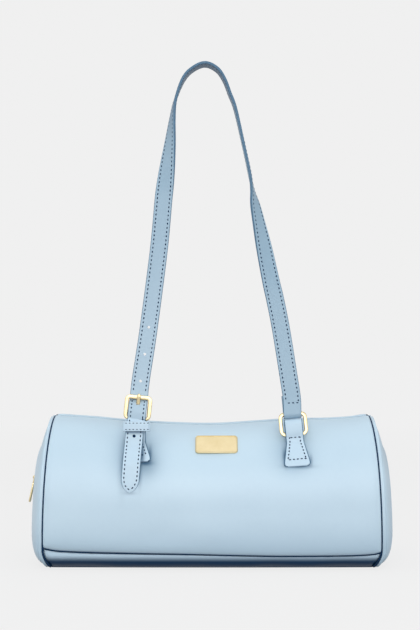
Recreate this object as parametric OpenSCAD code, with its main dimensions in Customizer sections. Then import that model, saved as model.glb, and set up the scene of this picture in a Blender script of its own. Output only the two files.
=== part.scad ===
/* [Bag body] */
// Length between the two end seams, at the belly
body_len = 264; // [230:1:290]
// Depth from front to back, at the belly
body_d = 126; // [112:1:136]
// Height at the end seams
body_h = 118.5; // [112:0.5:130]
// Height of the widest line of the section
belly_z = 50; // [44:1:56]
// Fullness of the upper section: 2 is an ellipse, more is squarer
crown_power = 2.25; // [2:0.05:2.6]
// How far the top sags in the middle
sag = 8; // [2:0.5:9]
// How much the depth draws in at each end, on either side
end_pinch = 1.5; // [0:0.5:4]
// Reach of each end panel beyond its seam, at its middle
end_bulge = 14.7; // [12:0.1:22]
// Height of the base seam above the ground
base_seam_z = 14; // [10:1:18]

/* [Layers of the wall] */
// Thickness of the leather with its foam
leather_t = 2; // [1.6:0.1:2.4]
// Thickness of the zip tape and of the patches behind the leather
tape_t = 0.7; // [0.5:0.1:0.9]
// Thickness of the lining
lining_t = 0.8; // [0.5:0.1:1]
// Free space between two layers
layer_gap = 0.3; // [0.2:0.05:0.4]
// Thickness of the stiff base board
board_t = 2; // [1:0.5:3]
// Diameter of the piping cord
piping_d = 3.4; // [2.6:0.2:4]

/* [Zip] */
// Width of the slit between the leather edges
zip_slit = 14; // [13:0.5:18]
// Width of one tape
tape_w = 10; // [9:0.5:12]
// Width of the closed rows of teeth
teeth_w = 5.8; // [5:0.2:6.4]
// Thickness of a tooth, through the tape
tooth_h = 2.2; // [1.8:0.1:2.4]
// Distance from tooth to tooth in one row
tooth_pitch = 5; // [4:0.5:6]
// Height of the slider's middle at rest, on the left end panel
slider_z = 70; // [68:1:72]
// Travel of the slider up the straight stretch
slider_travel = 14; // [8:1:14]
// Length of the slider
slider_len = 11; // [10:0.5:12]
// Width of the slider
slider_w = 9.2; // [8.6:0.2:10]
// Thickness of each plate of the slider
plate_t = 1; // [0.8:0.1:1.2]
// Length of the puller
puller_len = 21; // [16:1:26]
// Width of the puller
puller_w = 6; // [5:0.5:8]
// Thickness of the puller
puller_t = 1.6; // [1.2:0.1:1.8]

/* [Strap] */
// Width of the strap
strap_w = 14.5; // [12:0.5:15]
// Thickness of the strap
strap_t = 2.5; // [2:0.1:2.8]
// Height of the strap's crown above the buckle's heel bar
strap_rise = 289; // [240:1:330]
// Distance from hole to hole
hole_pitch = 21.7; // [18:0.1:24]
// Diameter of a hole
hole_d = 3; // [2.4:0.1:3.4]
// Length of the loose tail below the heel bar, seen from the front
tail_drop = 57; // [52:1:62]

/* [Buckle] */
// Place of the heel bar along the bag
buckle_x = -60.5; // [-70:0.5:-50]
// Height of the heel bar above the top of the end seams
buckle_up = 0.5; // [-0.5:0.5:2.5]
// Distance that both bars, the buckle's and the ring's, lie behind the leather at the waist
bar_back = 0.2; // [0:0.1:1]
// Outer width of the frame
frame_w = 22; // [21:0.5:24]
// Outer height of the frame
frame_h = 20.2; // [19:0.2:22]
// Diameter of the heel bar and width of the frame's rails
frame_d = 2.4; // [2:0.1:2.6]
// Outer corner radius of the frame
frame_r = 4; // [3:0.5:5]
// Width of the prong
prong_w = 2.2; // [1.8:0.1:2.4]

/* [Ring] */
// Place of the ring's lower bar along the bag
ring_x = 66; // [56:0.5:74]
// Distance from the top of the end seams down to the ring's lower bar
ring_drop = 12; // [11:0.5:12.5]
// Outer width of the ring
ring_w = 22.6; // [22:0.2:24]
// Outer height of the ring
ring_h = 19.3; // [19:0.1:20]
// Diameter of the ring's wire
ring_d = 2.6; // [2.2:0.1:2.8]
// Outer corner radius of the ring
ring_r = 4.8; // [3.6:0.2:5]
// Lean of the ring and its tab towards the strap's crown, in degrees
ring_lean = 5; // [0:0.5:6]

/* [Tabs and keeper] */
// Width of a tab at its waist
tab_w = 14.4; // [13:0.2:15]
// Width of a tab at its flared foot
tab_foot_w = 21.4; // [18:0.2:24]
// Corner radius of the foot
tab_r = 3; // [2:0.5:4]
// Thickness of each of a tab's two layers
fold_t = 1.3; // [1:0.1:1.5]
// Distance from the top of the end seams down to the left tab's foot
foot_drop_left = 33; // [29:0.5:36]
// Distance from the top of the end seams down to the right tab's foot
foot_drop_right = 36; // [31:0.5:38]
// Distance from the top of the end seams down to where the tabs leave the leather
waist_drop = 18.5; // [17.5:0.5:21]
// Height of the keeper
keeper_h = 8; // [6:0.5:9]
// Outer width of the keeper
keeper_w = 21.6; // [20.6:0.2:23]

/* [Badge] */
// Width of the plain badge
badge_w = 34; // [26:1:40]
// Height of the badge
badge_h = 16; // [12:1:20]
// Thickness of the badge
badge_t = 2; // [1.4:0.1:2.6]
// Distance from the top of the end seams down to the badge's middle
badge_drop = 21.5; // [18:0.5:28]

/* [Hidden] */
$fn = 40;

leather = [0.74, 0.84, 0.91];
trim = [0.66, 0.77, 0.86];
cloth = [0.55, 0.65, 0.75];
gold = [0.90, 0.78, 0.48];

// Overrun of every cut
cut = 1;
// Clearance round a moving pin, on the radius
pin_gap = 0.1;
// Clearance of a piece that rests on another
rest_gap = 0.3;

// Section of the bag: shares of the half depth and of the heights, from the belly down
seam_share = 0.42;
side_y_shares = [[0, 1], [0.12, 1], [0.24, 0.992], [0.34, 0.978], [0.42, 0.957],
    [0.5, 0.93], [0.58, 0.88], [0.66, 0.8], [0.74, 0.7], [1, 0]];
side_z_shares = [[0, 1], [0.12, 0.74], [0.24, 0.46], [0.34, 0.2], [0.42, 0]];
corner_z_shares = [[0.42, 1], [0.5, 0.6], [0.58, 0.27], [0.66, 0.07], [0.74, 0], [1, 0]];
// Place of the end seam against the height, as shares of the half length
seam_x_shares = [[0, 0.977], [0.12, 1.008], [0.4, 1], [0.75, 0.985], [1, 0.97]];
// Sag of the crown along the bag, as shares of the deepest sag
sag_shares = [[-1, 0], [-0.9, 0.12], [-0.75, 0.29], [-0.55, 0.6], [-0.3, 0.86], [0, 1],
    [0.3, 0.71], [0.55, 0.46], [0.75, 0.42], [0.9, 0.26], [1, 0]];
// Rise of an end panel from its seam to its middle, above and below the belly
dome_top_shares = [[0, 1], [0.142, 0.995], [0.6, 0.765], [0.7, 0.59], [0.82, 0.44],
    [0.905, 0.32], [0.965, 0.2], [1, 0]];
dome_low_shares = [[0, 1], [0.142, 1], [0.6, 0.965], [0.7, 0.92], [0.82, 0.78], [0.905, 0.6],
    [0.965, 0.36], [1, 0]];

// Angles round the section: 0 at the crown, 90 at the belly, 180 under the bag
belly_angles = [90, 100.8, 111.6, 120.6];
seam_angle = 90 + 90 * seam_share;
base_angles = [seam_angle, 135, 142.2, 149.4, 156.6, 180];
crown_angles = [10, 19, 28, 37, 46, 56, 67, 78];
loop_angles = [0, 10, 22, 36, 50, 58, 67, 78, 90, 100.8, 111.6, seam_angle, 135, 142.2,
    149.4, 156.6, 180];
// Stations along the bag and rings from an end seam to the middle of the end
long_shares = [-1, -0.9, -0.75, -0.55, -0.3, 0, 0.3, 0.55, 0.75, 0.9, 1];
dome_shares = [1, 0.965, 0.905, 0.82, 0.7, 0.6, 0.36, 0.142];

piping_r = piping_d / 2;
end_x = body_len / 2 + end_bulge;
// Depths of the layers below the outer face
tape_w0 = leather_t + layer_gap;
lining_w0 = tape_w0 + tape_t + layer_gap;
lining_lift = leather_t + board_t + 2 * layer_gap;

function flat(rows) = [for (row = rows) for (p = row) p];
function mix(a, b, share) = a + (b - a) * share;
function top_h(u) = body_h - sag * lookup(u, sag_shares);
function half_d(u) = body_d / 2 - end_pinch * u * u;
function side_z(q) = q <= seam_share
    ? base_seam_z + (belly_z - base_seam_z) * lookup(q, side_z_shares)
    : base_seam_z * lookup(q, corner_z_shares);
// Point [depth, height] of a section with half depth a, crown h and a floor at lift
function section(t, a, h, lift) = t <= 90
    ? [a * pow(sin(t), 2 / crown_power), belly_z + (h - belly_z) * pow(cos(t), 2 / crown_power)]
    : [a * lookup(t / 90 - 1, side_y_shares), lift + (1 - lift / belly_z) * side_z(t / 90 - 1)];
function seam_x(z) = body_len / 2 * lookup(z / body_h, seam_x_shares);
// Angle at which a section of half depth a is y away from the middle plane
function angle_at(y, a) = asin(pow(y / a, crown_power / 2));

// Point of the long wall, w under its outer face; side is -1 in front and 1 behind
function wall_point(u, t, w, lift, inset, side) =
    let (p = section(t, half_d(u) - w, top_h(u) - w, lift))
    [u * (seam_x(p[1]) - inset), side * p[0], p[1]];
// Point of the left end panel on ring share s, w under its outer face
function dome_x(s, t, z, w) =
    let (up = (1 + cos(t)) / 2,
         rise = mix(lookup(s, dome_low_shares), lookup(s, dome_top_shares), up))
    -mix(seam_x(z) + piping_r, end_x - w, rise);
function dome_point(s, t, w, lift, side) =
    let (p = section(t, half_d(1) - w, top_h(1) - w, lift))
    [dome_x(s, t, p[1], w), side * s * p[0], belly_z + s * (p[1] - belly_z)];
// The same surface above the belly, from a depth y and a ring share s on the middle plane
function dome_at(s, y, w) =
    let (a = half_d(1) - w,
         h = top_h(1) - w,
         drop = 1 - pow(cos(angle_at(abs(y), a)), 2 / crown_power),
         zs = s - drop * pow(s, 3),
         ys = abs(y) / a,
         ring = pow(pow(ys, crown_power) + pow(zs, crown_power), 1 / crown_power),
         t = asin(min(1, pow(ys / ring, crown_power / 2))))
    [dome_x(min(1, ring), t, section(t, a, h, w)[1], w), y, belly_z + zs * (h - belly_z)];
// Point on the outside of the front, off away from the leather, at an angle or a height
function skin_point(x, t, off) =
    let (u = x / (body_len / 2), p = section(t, half_d(u) + off, top_h(u) + off, 0))
    [x, -p[0], p[1]];
function skin_at(x, z, off) =
    let (h = top_h(x / (body_len / 2)) + off - belly_z,
         t = acos(pow((z - belly_z) / h, crown_power / 2)))
    [x, skin_point(x, t, off)[1], z];

// Heights of the fittings, hung from the top of the end seams
buckle_z = body_h + buckle_up;
ring_z = body_h - ring_drop;
waist_z = body_h - waist_drop;
foot_z_left = body_h - foot_drop_left;
foot_z_right = body_h - foot_drop_right;
badge_z = body_h - badge_drop;
// Both bars lie in one plane, and the heel bar points at the ring's, so the strap swings on them
bar_y = -skin_at(ring_x, waist_z, 0)[1] - bar_back;
buckle_lean = atan2(buckle_z - ring_z, ring_x - buckle_x);

// Closed slab between two grids; rows crossed with columns point to the first grid
module slab(outer, inner) {
    n = len(outer);
    m = len(outer[0]);
    function o(i, j) = i * m + j;
    function q(i, j) = n * m + i * m + j;
    polyhedron(points = concat(flat(outer), flat(inner)), convexity = 6, faces = [
        for (i = [0 : n - 2]) for (j = [0 : m - 2]) each [
            [o(i, j), o(i, j + 1), o(i + 1, j + 1)],
            [o(i, j), o(i + 1, j + 1), o(i + 1, j)],
            [q(i, j), q(i + 1, j + 1), q(i, j + 1)],
            [q(i, j), q(i + 1, j), q(i + 1, j + 1)]],
        for (j = [0 : m - 2]) each [
            [o(0, j + 1), o(0, j), q(0, j)],
            [o(0, j + 1), q(0, j), q(0, j + 1)],
            [o(n - 1, j), o(n - 1, j + 1), q(n - 1, j + 1)],
            [o(n - 1, j), q(n - 1, j + 1), q(n - 1, j)]],
        for (i = [0 : n - 2]) each [
            [o(i, 0), o(i + 1, 0), q(i + 1, 0)],
            [o(i, 0), q(i + 1, 0), q(i, 0)],
            [o(i + 1, m - 1), o(i, m - 1), q(i, m - 1)],
            [o(i + 1, m - 1), q(i, m - 1), q(i + 1, m - 1)]],
    ]);
}

// Closed bowl between two sets of rings, each ending in a middle point
module bowl(outer, inner, outer_mid, inner_mid) {
    n = len(outer);
    m = len(outer[0]);
    function o(i, j) = i * m + j % m;
    function q(i, j) = n * m + i * m + j % m;
    mid = 2 * n * m;
    polyhedron(points = concat(flat(outer), flat(inner), [outer_mid, inner_mid]),
        convexity = 6, faces = [
        for (i = [0 : n - 2]) for (j = [0 : m - 1]) each [
            [o(i, j), o(i, j + 1), o(i + 1, j + 1)],
            [o(i, j), o(i + 1, j + 1), o(i + 1, j)],
            [q(i, j), q(i + 1, j + 1), q(i, j + 1)],
            [q(i, j), q(i + 1, j), q(i + 1, j + 1)]],
        for (j = [0 : m - 1]) each [
            [o(0, j + 1), o(0, j), q(0, j)],
            [o(0, j + 1), q(0, j), q(0, j + 1)],
            [o(n - 1, j), o(n - 1, j + 1), mid],
            [q(n - 1, j + 1), q(n - 1, j), mid + 1]],
    ]);
}

// Solid swept through rings of points, each ring turning from the normal to cross(normal, way)
module sweep(rings, closed = false) {
    n = len(rings);
    m = len(rings[0]);
    function o(i, j) = (i % n) * m + j % m;
    polyhedron(points = flat(rings), convexity = 6, faces = [
        for (i = [0 : closed ? n - 1 : n - 2]) for (j = [0 : m - 1]) each [
            [o(i, j), o(i, j + 1), o(i + 1, j + 1)],
            [o(i, j), o(i + 1, j + 1), o(i + 1, j)]],
        if (!closed) [for (j = [m - 1 : -1 : 0]) o(0, j)],
        if (!closed) [for (j = [0 : m - 1]) o(n - 1, j)],
    ]);
}

function unit(v) = v / norm(v);
function way(path, i, closed) =
    let (n = len(path),
         a = closed ? (i + n - 1) % n : max(0, i - 1),
         b = closed ? (i + 1) % n : min(n - 1, i + 1))
    unit(path[b] - path[a]);
// Round ring of a cord whose normal leans towards the vector out
function cord_ring(at, along, out, r, sides) =
    let (n = unit(out - along * (out * along)), b = cross(n, along))
    [for (k = [0 : sides - 1])
        let (a = 360 * k / sides) at + n * r * cos(a) + b * r * sin(a)];

// Curve through the given points
function spline_point(a, b, c, d, s) =
    (b * 2 + (c - a) * s + (a * 2 - b * 5 + c * 4 - d) * s * s
        + (b * 3 - a - c * 3 + d) * s * s * s) / 2;
function spline(p, steps) = let (last = len(p) - 1) concat(
    [for (i = [0 : last - 1]) for (k = [0 : steps - 1])
        spline_point(p[max(i - 1, 0)], p[i], p[i + 1], p[min(i + 2, last)], k / steps)],
    [p[last]]);

// Leather panels
module wall_strip(angles, w0, w1, lift0, lift1, inset, side) {
    outer = [for (t = angles) [for (u = long_shares) wall_point(u, t, w0, lift0, inset, side)]];
    inner = [for (t = angles) [for (u = long_shares) wall_point(u, t, w1, lift1, inset, side)]];
    slab(outer, inner);
}

module front_shape() {
    angles = concat([angle_at(zip_slit / 2, half_d(1))], crown_angles, belly_angles,
        [seam_angle]);
    wall_strip(angles, 0, leather_t, 0, leather_t, piping_r, -1);
}

module front_panel() {
    color(leather) front_shape();
}

module back_panel() {
    color(leather) mirror([0, 1, 0]) front_shape();
}

// The base panel runs under the bag from one base seam to the other
module base_panel() {
    down = [for (i = [1 : len(base_angles) - 1]) base_angles[i]];
    start = seam_angle + base_gap_angle;
    front = concat([start], down);
    grid0 = base_grid(front, 0, 0);
    grid1 = base_grid(front, leather_t, leather_t);
    color(leather) slab(grid0, grid1);
}
// The base seam's piping takes this much of the section's angle
base_gap_angle = 4.6;
function base_grid(angles, w, lift) = concat(
    [for (t = angles) [for (u = long_shares) wall_point(u, t, w, lift, piping_r, -1)]],
    [for (i = [len(angles) - 2 : -1 : 0])
        [for (u = long_shares) wall_point(u, angles[i], w, lift, piping_r, 1)]]);

// All the way round an end seam, front first
function round_the_seam() = concat(
    [for (t = loop_angles) [t, -1]],
    [for (i = [len(loop_angles) - 2 : -1 : 1]) [loop_angles[i], 1]]);
function dome_grid(shares, w, lift) =
    [for (s = shares) [for (a = round_the_seam()) dome_point(s, a[0], w, lift, a[1])]];

// The slit of the zip in an end panel, with a round lower end
module zip_slot(half_w, low_z) {
    translate([-end_x - cut, -half_w, low_z + half_w])
        cube([end_x, 2 * half_w, body_h]);
    translate([-end_x - cut, 0, low_z + half_w]) rotate([0, 90, 0])
        cylinder(h = end_x, r = half_w);
}

slot_low = slider_z - slider_len / 2 - zip_slit / 4;

module end_shape(w0, w1, lift0, lift1, slot_half, slot_z) {
    difference() {
        bowl(dome_grid(dome_shares, w0, lift0), dome_grid(dome_shares, w1, lift1),
            [-end_x + w0, 0, belly_z], [-end_x + w1, 0, belly_z]);
        zip_slot(slot_half, slot_z);
    }
}

module end_panel_left() {
    color(leather) end_shape(0, leather_t, 0, leather_t, zip_slit / 2, slot_low);
}

module end_panel_right() {
    color(leather) mirror([1, 0, 0])
        end_shape(0, leather_t, 0, leather_t, zip_slit / 2, slot_low);
}

// Piping cords
cord_sides = 8;
module end_piping() {
    r = piping_r - 2 * pin_gap;
    w = r * 0.35;
    mid = [-body_len / 2, 0, belly_z];
    path = [for (a = open_at_the_zip())
        let (p = section(a[0], half_d(1) - w, top_h(1) - w, w), z = max(p[1], piping_r))
        [-seam_x(z), a[1] * p[0], z]];
    rings = [for (i = [0 : len(path) - 1])
        cord_ring(path[i], way(path, i, false), path[i] - mid, r, cord_sides)];
    sweep(rings);
}
// The cords start and end at the slit of the zip
function open_at_the_zip() =
    let (start = angle_at(zip_slit / 2 + layer_gap, half_d(1)),
         turns = [for (t = loop_angles) if (t > start + 3) t])
    concat([[start, -1]], [for (t = turns) [t, -1]],
        [for (i = [len(turns) - 2 : -1 : 0]) [turns[i], 1]], [[start, 1]]);

module piping_left() {
    color(trim) end_piping();
}

module piping_right() {
    color(trim) mirror([1, 0, 0]) end_piping();
}

module base_piping(side) {
    r = piping_r * base_cord_share;
    path = [for (u = long_shares)
        wall_point(u, seam_angle + base_gap_angle * 0.4, r / 2, 0, piping_d, side)];
    rings = [for (i = [0 : len(path) - 1])
        cord_ring(path[i], way(path, i, false), [0, side, 0], r, cord_sides)];
    sweep(rings);
}
// The base cord is a little thinner than the end cords
base_cord_share = 0.6;

module piping_base_front() {
    color(trim) base_piping(-1);
}

module piping_base_back() {
    color(trim) base_piping(1);
}

// Base board and lining
board_x_share = 0.94;
board_y_share = 0.68;
module base_board() {
    l = body_len * board_x_share;
    d = body_d * board_y_share;
    r = d / 8;
    color("dimgray") translate([-l / 2, -d / 2, leather_t + layer_gap / 2])
        rounded_plate(l, d, board_t, r);
}

// Plate with round corners, from its lower left corner
module rounded_plate(l, w, h, r) {
    translate([r, 0, 0]) cube([l - 2 * r, w, h]);
    translate([0, r, 0]) cube([l, w - 2 * r, h]);
    for (x = [r, l - r]) for (y = [r, w - r]) translate([x, y, 0]) cylinder(h = h, r = r);
}

lining_slit = zip_slit / 2 + 1.5 * layer_gap;
module lining_body() {
    angles = concat([angle_at(lining_slit, half_d(1))], [19, 37, 56, 67],
        [for (t = loop_angles) if (t > 70) t]);
    reach = layer_gap - piping_r;
    function grid(w, lift) = concat(
        [for (t = angles) [for (u = long_shares) wall_point(u, t, w, lift, reach, -1)]],
        [for (i = [len(angles) - 2 : -1 : 0])
            [for (u = long_shares) wall_point(u, angles[i], w, lift, reach, 1)]]);
    color(cloth) slab(grid(lining_w0, lining_lift),
        grid(lining_w0 + lining_t, lining_lift + lining_t));
}

module lining_end_shape() {
    end_shape(lining_w0, lining_w0 + lining_t, lining_lift, lining_lift + lining_t,
        lining_slit, slot_low - layer_gap);
}

module lining_end_left() {
    color(cloth) lining_end_shape();
}

module lining_end_right() {
    color(cloth) mirror([1, 0, 0]) lining_end_shape();
}

// Flat pocket of lining cloth on the back wall, open along its top edge
pocket_len_share = 0.26;
pocket_angles = [56, 78, 90, 111.6];
module slip_pocket() {
    w = lining_w0 + lining_t + layer_gap;
    shares = [for (k = [-3 : 3]) pocket_len_share * k / 3];
    lift = lining_lift + lining_t;
    function grid(d) = [for (t = pocket_angles)
        [for (u = shares) wall_point(u, t, d, lift, 0, 1)]];
    color(cloth) slab(grid(w + lining_t), grid(w));
}

// Zip. The crest is the middle line of the zip from the left end to the right
zip_low_share = (slot_low + tape_w / 2 - belly_z) / (body_h - belly_z);
end_shares = [zip_low_share, 0.575, 0.625, 0.7, 0.82, 0.905, 0.965, 1];
function mirror_x(p) = [-p[0], p[1], p[2]];
function zip_line(y, w) =
    let (left = [for (s = end_shares) dome_at(s, y, w)],
         top = [for (u = long_shares)
             wall_point(u, angle_at(abs(y), half_d(u) - w), w, 0, 0, y < 0 ? -1 : 1)])
    concat(left, top, [for (i = [len(left) - 1 : -1 : 0]) mirror_x(left[i])]);

row_half = teeth_w / 2;
module zip_tape(side) {
    ys = [for (y = [row_half, row_half + tape_w / 2, row_half + tape_w]) side * y];
    outer = [for (y = ys) zip_line(y, tape_w0)];
    inner = [for (y = ys) zip_line(y, tape_w0 + tape_t)];
    if (side < 0) slab(inner, outer);
    else slab(outer, inner);
}

module zip_tape_front() {
    color(cloth) zip_tape(-1);
}

module zip_tape_back() {
    color(cloth) zip_tape(1);
}

// Middle line of the teeth, and the place and lean at a distance along it
tooth_w0 = tape_w0 + tape_t / 2;
tooth_line = zip_line(0, tooth_w0);
function lengths(path, i = 0, sum = 0) = i == len(path) - 1 ? [sum]
    : concat([sum], lengths(path, i + 1, sum + norm(path[i + 1] - path[i])));
tooth_marks = lengths(tooth_line);
zip_total = tooth_marks[len(tooth_marks) - 1];
function leg(d, i = 0) = i >= len(tooth_marks) - 2 || d < tooth_marks[i + 1] ? i : leg(d, i + 1);
module on_zip(d) {
    i = leg(d);
    a = tooth_line[i];
    b = tooth_line[i + 1];
    at = mix(a, b, (d - tooth_marks[i]) / (tooth_marks[i + 1] - tooth_marks[i]));
    lean = atan2(b[0] - a[0], b[2] - a[2]);
    translate(at) rotate([0, lean, 0]) children();
}

// Distance along the line at which the slider's middle stands at rest
end_lean = atan2(tooth_line[1][0] - tooth_line[0][0], tooth_line[1][2] - tooth_line[0][2]);
slider_at = (slider_z - tooth_line[0][2]) / cos(end_lean);
tooth_l = tooth_pitch * 0.32;
overlap_half = row_half * 0.22;
first_tooth = slider_at + tooth_l;
end_row_len = slider_travel + slider_len;

// Teeth of one row between two distances; the rows stand half a pitch apart
module tooth_row(side, from, to) {
    shift = side < 0 ? 0 : tooth_pitch / 2;
    for (d = [from + shift : tooth_pitch : to - tooth_l]) on_zip(d)
        translate([-tooth_h / 2, side < 0 ? -row_half : -overlap_half, 0])
            cube([tooth_h, row_half + overlap_half, tooth_l]);
}

row_start = first_tooth + ceil(end_row_len / tooth_pitch) * tooth_pitch;
row_end = zip_total - tape_w / 2;

module zip_teeth_front() {
    color(gold) tooth_row(-1, row_start, row_end);
}

module zip_teeth_back() {
    color(gold) tooth_row(1, row_start, row_end);
}

// The stretch that parts as the slider runs over it
module zip_teeth_end() {
    color(gold) {
        tooth_row(-1, first_tooth, row_start);
        tooth_row(1, first_tooth, row_start);
    }
}

module zip_stops() {
    gap = row_half * 0.5;
    color(gold) {
        for (y = [-row_half, gap]) on_zip(slider_at - tooth_l)
            translate([-tooth_h / 2, y, 0]) cube([tooth_h, row_half - gap, tooth_l]);
        on_zip(row_end + tooth_l)
            translate([-tooth_h / 2, -row_half, 0]) cube([tooth_h, teeth_w, tooth_l]);
    }
}

// Slider: two plates joined by a narrow bridge, with ears for the puller's pin
channel = tooth_h / 2 + rest_gap;
bridge_w = row_half * 0.8;
bridge_l = slider_len * 0.26;
ear_t = 1;
pin_r = 0.8;
ear_r = pin_r * 1.9;
eye_r = 2 * pin_r + pin_gap;
pin_off = channel + plate_t + eye_r + rest_gap;
pin_low = slider_len * 0.3;
module slider_plate() {
    r = slider_w * 0.3;
    translate([0, slider_w / 2, -slider_len / 2]) rotate([90, 0, -90])
        rounded_plate(slider_w, slider_len, plate_t, r);
}

module slider_shape() {
    translate([-channel, 0, 0]) slider_plate();
    translate([channel + plate_t, 0, 0]) slider_plate();
    translate([-channel - plate_t / 2, -bridge_w / 2, -slider_len / 2])
        cube([2 * channel + plate_t, bridge_w, bridge_l]);
    for (y = [-puller_eye_w / 2 - pin_gap - ear_t, puller_eye_w / 2 + pin_gap]) {
        translate([-pin_off, y, -pin_low]) rotate([-90, 0, 0]) cylinder(h = ear_t, r = ear_r);
        translate([-pin_off, y, -pin_low - ear_r])
            cube([pin_off - channel - plate_t / 2, ear_t, 2 * ear_r]);
    }
    translate([-pin_off, -puller_eye_w / 2 - ear_t, -pin_low]) rotate([-90, 0, 0])
        cylinder(h = puller_eye_w + 2 * ear_t, r = pin_r);
}

module zip_slider() {
    color(gold) on_zip(slider_at) slider_shape();
}

// Puller: a tapered bar with an eye on the slider's pin, leaning out over the panel's bulge
puller_eye_w = 2.6;
puller_out = 12;
module puller_shape() {
    neck = puller_len * 0.16;
    corner = puller_w * 0.35;
    difference() {
        union() {
            rotate([90, 0, 0]) translate([0, 0, -puller_eye_w / 2])
                cylinder(h = puller_eye_w, r = eye_r);
            translate([-puller_t / 2, -puller_eye_w / 2, -neck - corner])
                cube([puller_t, puller_eye_w, neck + corner]);
            translate([puller_t / 2, puller_w / 2, -puller_len]) rotate([90, 0, -90])
                rounded_plate(puller_w, puller_len - neck, puller_t, corner);
        }
        rotate([90, 0, 0]) translate([0, 0, -puller_w / 2])
            cylinder(h = puller_w, r = pin_r + pin_gap);
    }
}

module zip_puller() {
    color(gold) on_zip(slider_at) translate([-pin_off, 0, -pin_low])
        rotate([0, puller_out - end_lean, 0]) puller_shape();
}

// Tabs. A tab is one strip in two layers: up from its foot, round its bar and down again
layer_slit = 0.2;
tab_t = 2 * fold_t + layer_slit;
tab_back = rest_gap;
tab_front = rest_gap + tab_t;
tab_shares = [0, 0.05, 0.15, 0.35, 0.56, 0.78, 1];
fold_angles = [38, 62, 90];
function tab_half(v, height) =
    let (k = max(0, 1 - v * height / tab_r))
    mix(tab_foot_w, tab_w, v) / 2 - tab_r * (1 - sqrt(1 - k * k));

module tab_sheet(at, r, up, tip, lean, foot_z, neck) {
    back = [0, sin(tip), cos(tip)];
    fore = [0, -cos(tip), sin(tip)];
    function sewn(v, off) =
        let (z = mix(foot_z, waist_z, v), half = tab_half(v, waist_z - foot_z))
        [for (k = [1 : -1 : -1])
            skin_at(at[0] + tan(lean) * (at[2] - z) + k * half * cos(lean),
                z + k * half * sin(lean), off)];
    function turned(a, lift, rad) =
        let (p = back * (lift - rad * cos(a)) + fore * rad * sin(a))
        [for (k = [1 : -1 : -1]) at + [k * tab_w / 2 * cos(lean) - p[2] * sin(lean), p[1],
            k * tab_w / 2 * sin(lean) + p[2] * cos(lean)]];
    bends = concat([for (a = fold_angles) [a, 0]],
        [for (a = [90 : 22.5 : 270]) [a, up]],
        [for (i = [len(fold_angles) - 1 : -1 : 0]) [360 - fold_angles[i], 0]]);
    // Row where the two layers still lie together, below the fold
    function joined(off) = [for (k = [1 : -1 : -1])
        let (p = fore * off - back * (r + fold_t) * 1.5)
        at + [k * tab_w / 2 * cos(lean) - p[2] * sin(lean), p[1],
            k * tab_w / 2 * sin(lean) + p[2] * cos(lean)]];
    function sheet(front_off, back_off, close, rad) = concat(
        [for (v = tab_shares) sewn(v, front_off)],
        neck ? [joined(close)] : [],
        [for (b = bends) turned(b[0], b[1], rad)],
        neck ? [joined(-close)] : [],
        [for (i = [len(tab_shares) - 1 : -1 : 0]) sewn(tab_shares[i], back_off)]);
    slab(sheet(tab_front, tab_back, tab_t / 2, r + fold_t),
        sheet(tab_front - fold_t, tab_back + fold_t, layer_slit / 2, r));
}

// Left tab and buckle
heel_r = frame_d / 2;
heel_play = 0.9;
heel_up = 0.6;
heel_fold_r = heel_r + heel_play;
heel_out = heel_fold_r + fold_t;
slot_w = prong_w + 2 * heel_play;
buckle_at = [buckle_x, -bar_y, buckle_z];

module tab_left() {
    color(trim) difference() {
        tab_sheet(buckle_at, heel_fold_r, heel_up, neck_lean, 0, foot_z_left, true);
        translate(buckle_at) rotate([-neck_lean, 0, 0])
            translate([-slot_w / 2, -heel_out - cut, -heel_fold_r - fold_t / 3])
            cube([slot_w, 2 * heel_out + 2 * cut, 2 * heel_out + heel_up + cut]);
    }
}

rail_mid = frame_h - frame_d;
module on_buckle() {
    translate(buckle_at) rotate([0, buckle_lean, 0]) children();
}

module buckle_frame() {
    in_w = frame_w - 2 * frame_d;
    in_h = frame_h - 2 * frame_d;
    color(gold) on_buckle() {
        difference() {
            translate([-frame_w / 2, heel_r, -heel_r]) rotate([90, 0, 0])
                rounded_plate(frame_w, frame_h, frame_d, frame_r);
            translate([-in_w / 2, heel_r + cut, heel_r - frame_d - cut]) rotate([90, 0, 0])
                rounded_plate(in_w, in_h + frame_d + cut, frame_d + 2 * cut, frame_r - frame_d / 2);
        }
        rotate([0, 90, 0]) cylinder(h = frame_w - frame_d, r = heel_r, center = true);
    }
}

// Prong: an eye on the heel bar and a bar that crosses the strap to the top rail
prong_eye_r = heel_r + pin_gap + 1.1;
prong_t = 1.8;
prong_tip = rail_mid + frame_d * 0.7;
module buckle_prong() {
    front = -heel_r - prong_t / 2 - rest_gap;
    color(gold) on_buckle() difference() {
        union() {
            rotate([0, 90, 0]) cylinder(h = prong_w, r = prong_eye_r, center = true);
            lean = atan2(-front, rail_mid);
            rotate([lean, 0, 0]) {
                translate([-prong_w / 2, -prong_t / 2, 0])
                    cube([prong_w, prong_t, prong_tip / cos(lean)]);
                translate([0, prong_t / 2, prong_tip / cos(lean)]) rotate([90, 0, 0])
                    cylinder(h = prong_t, r = prong_w / 2);
            }
        }
        rotate([0, 90, 0]) cylinder(h = 2 * prong_w, r = heel_r + pin_gap, center = true);
    }
}

// The strap's outline: width and thickness with its edges turned
edge_share = 0.3;
function ribbon_ring(at, along, normal, w, t) =
    let (b = cross(normal, along), e = t * edge_share, hw = w / 2, ht = t / 2)
    [for (p = [[e - hw, ht], [hw - e, ht], [hw, ht - e], [hw, e - ht],
               [hw - e, -ht], [e - hw, -ht], [-hw, e - ht], [-hw, ht - e]])
        at + b * p[0] + normal * p[1]];

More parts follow.
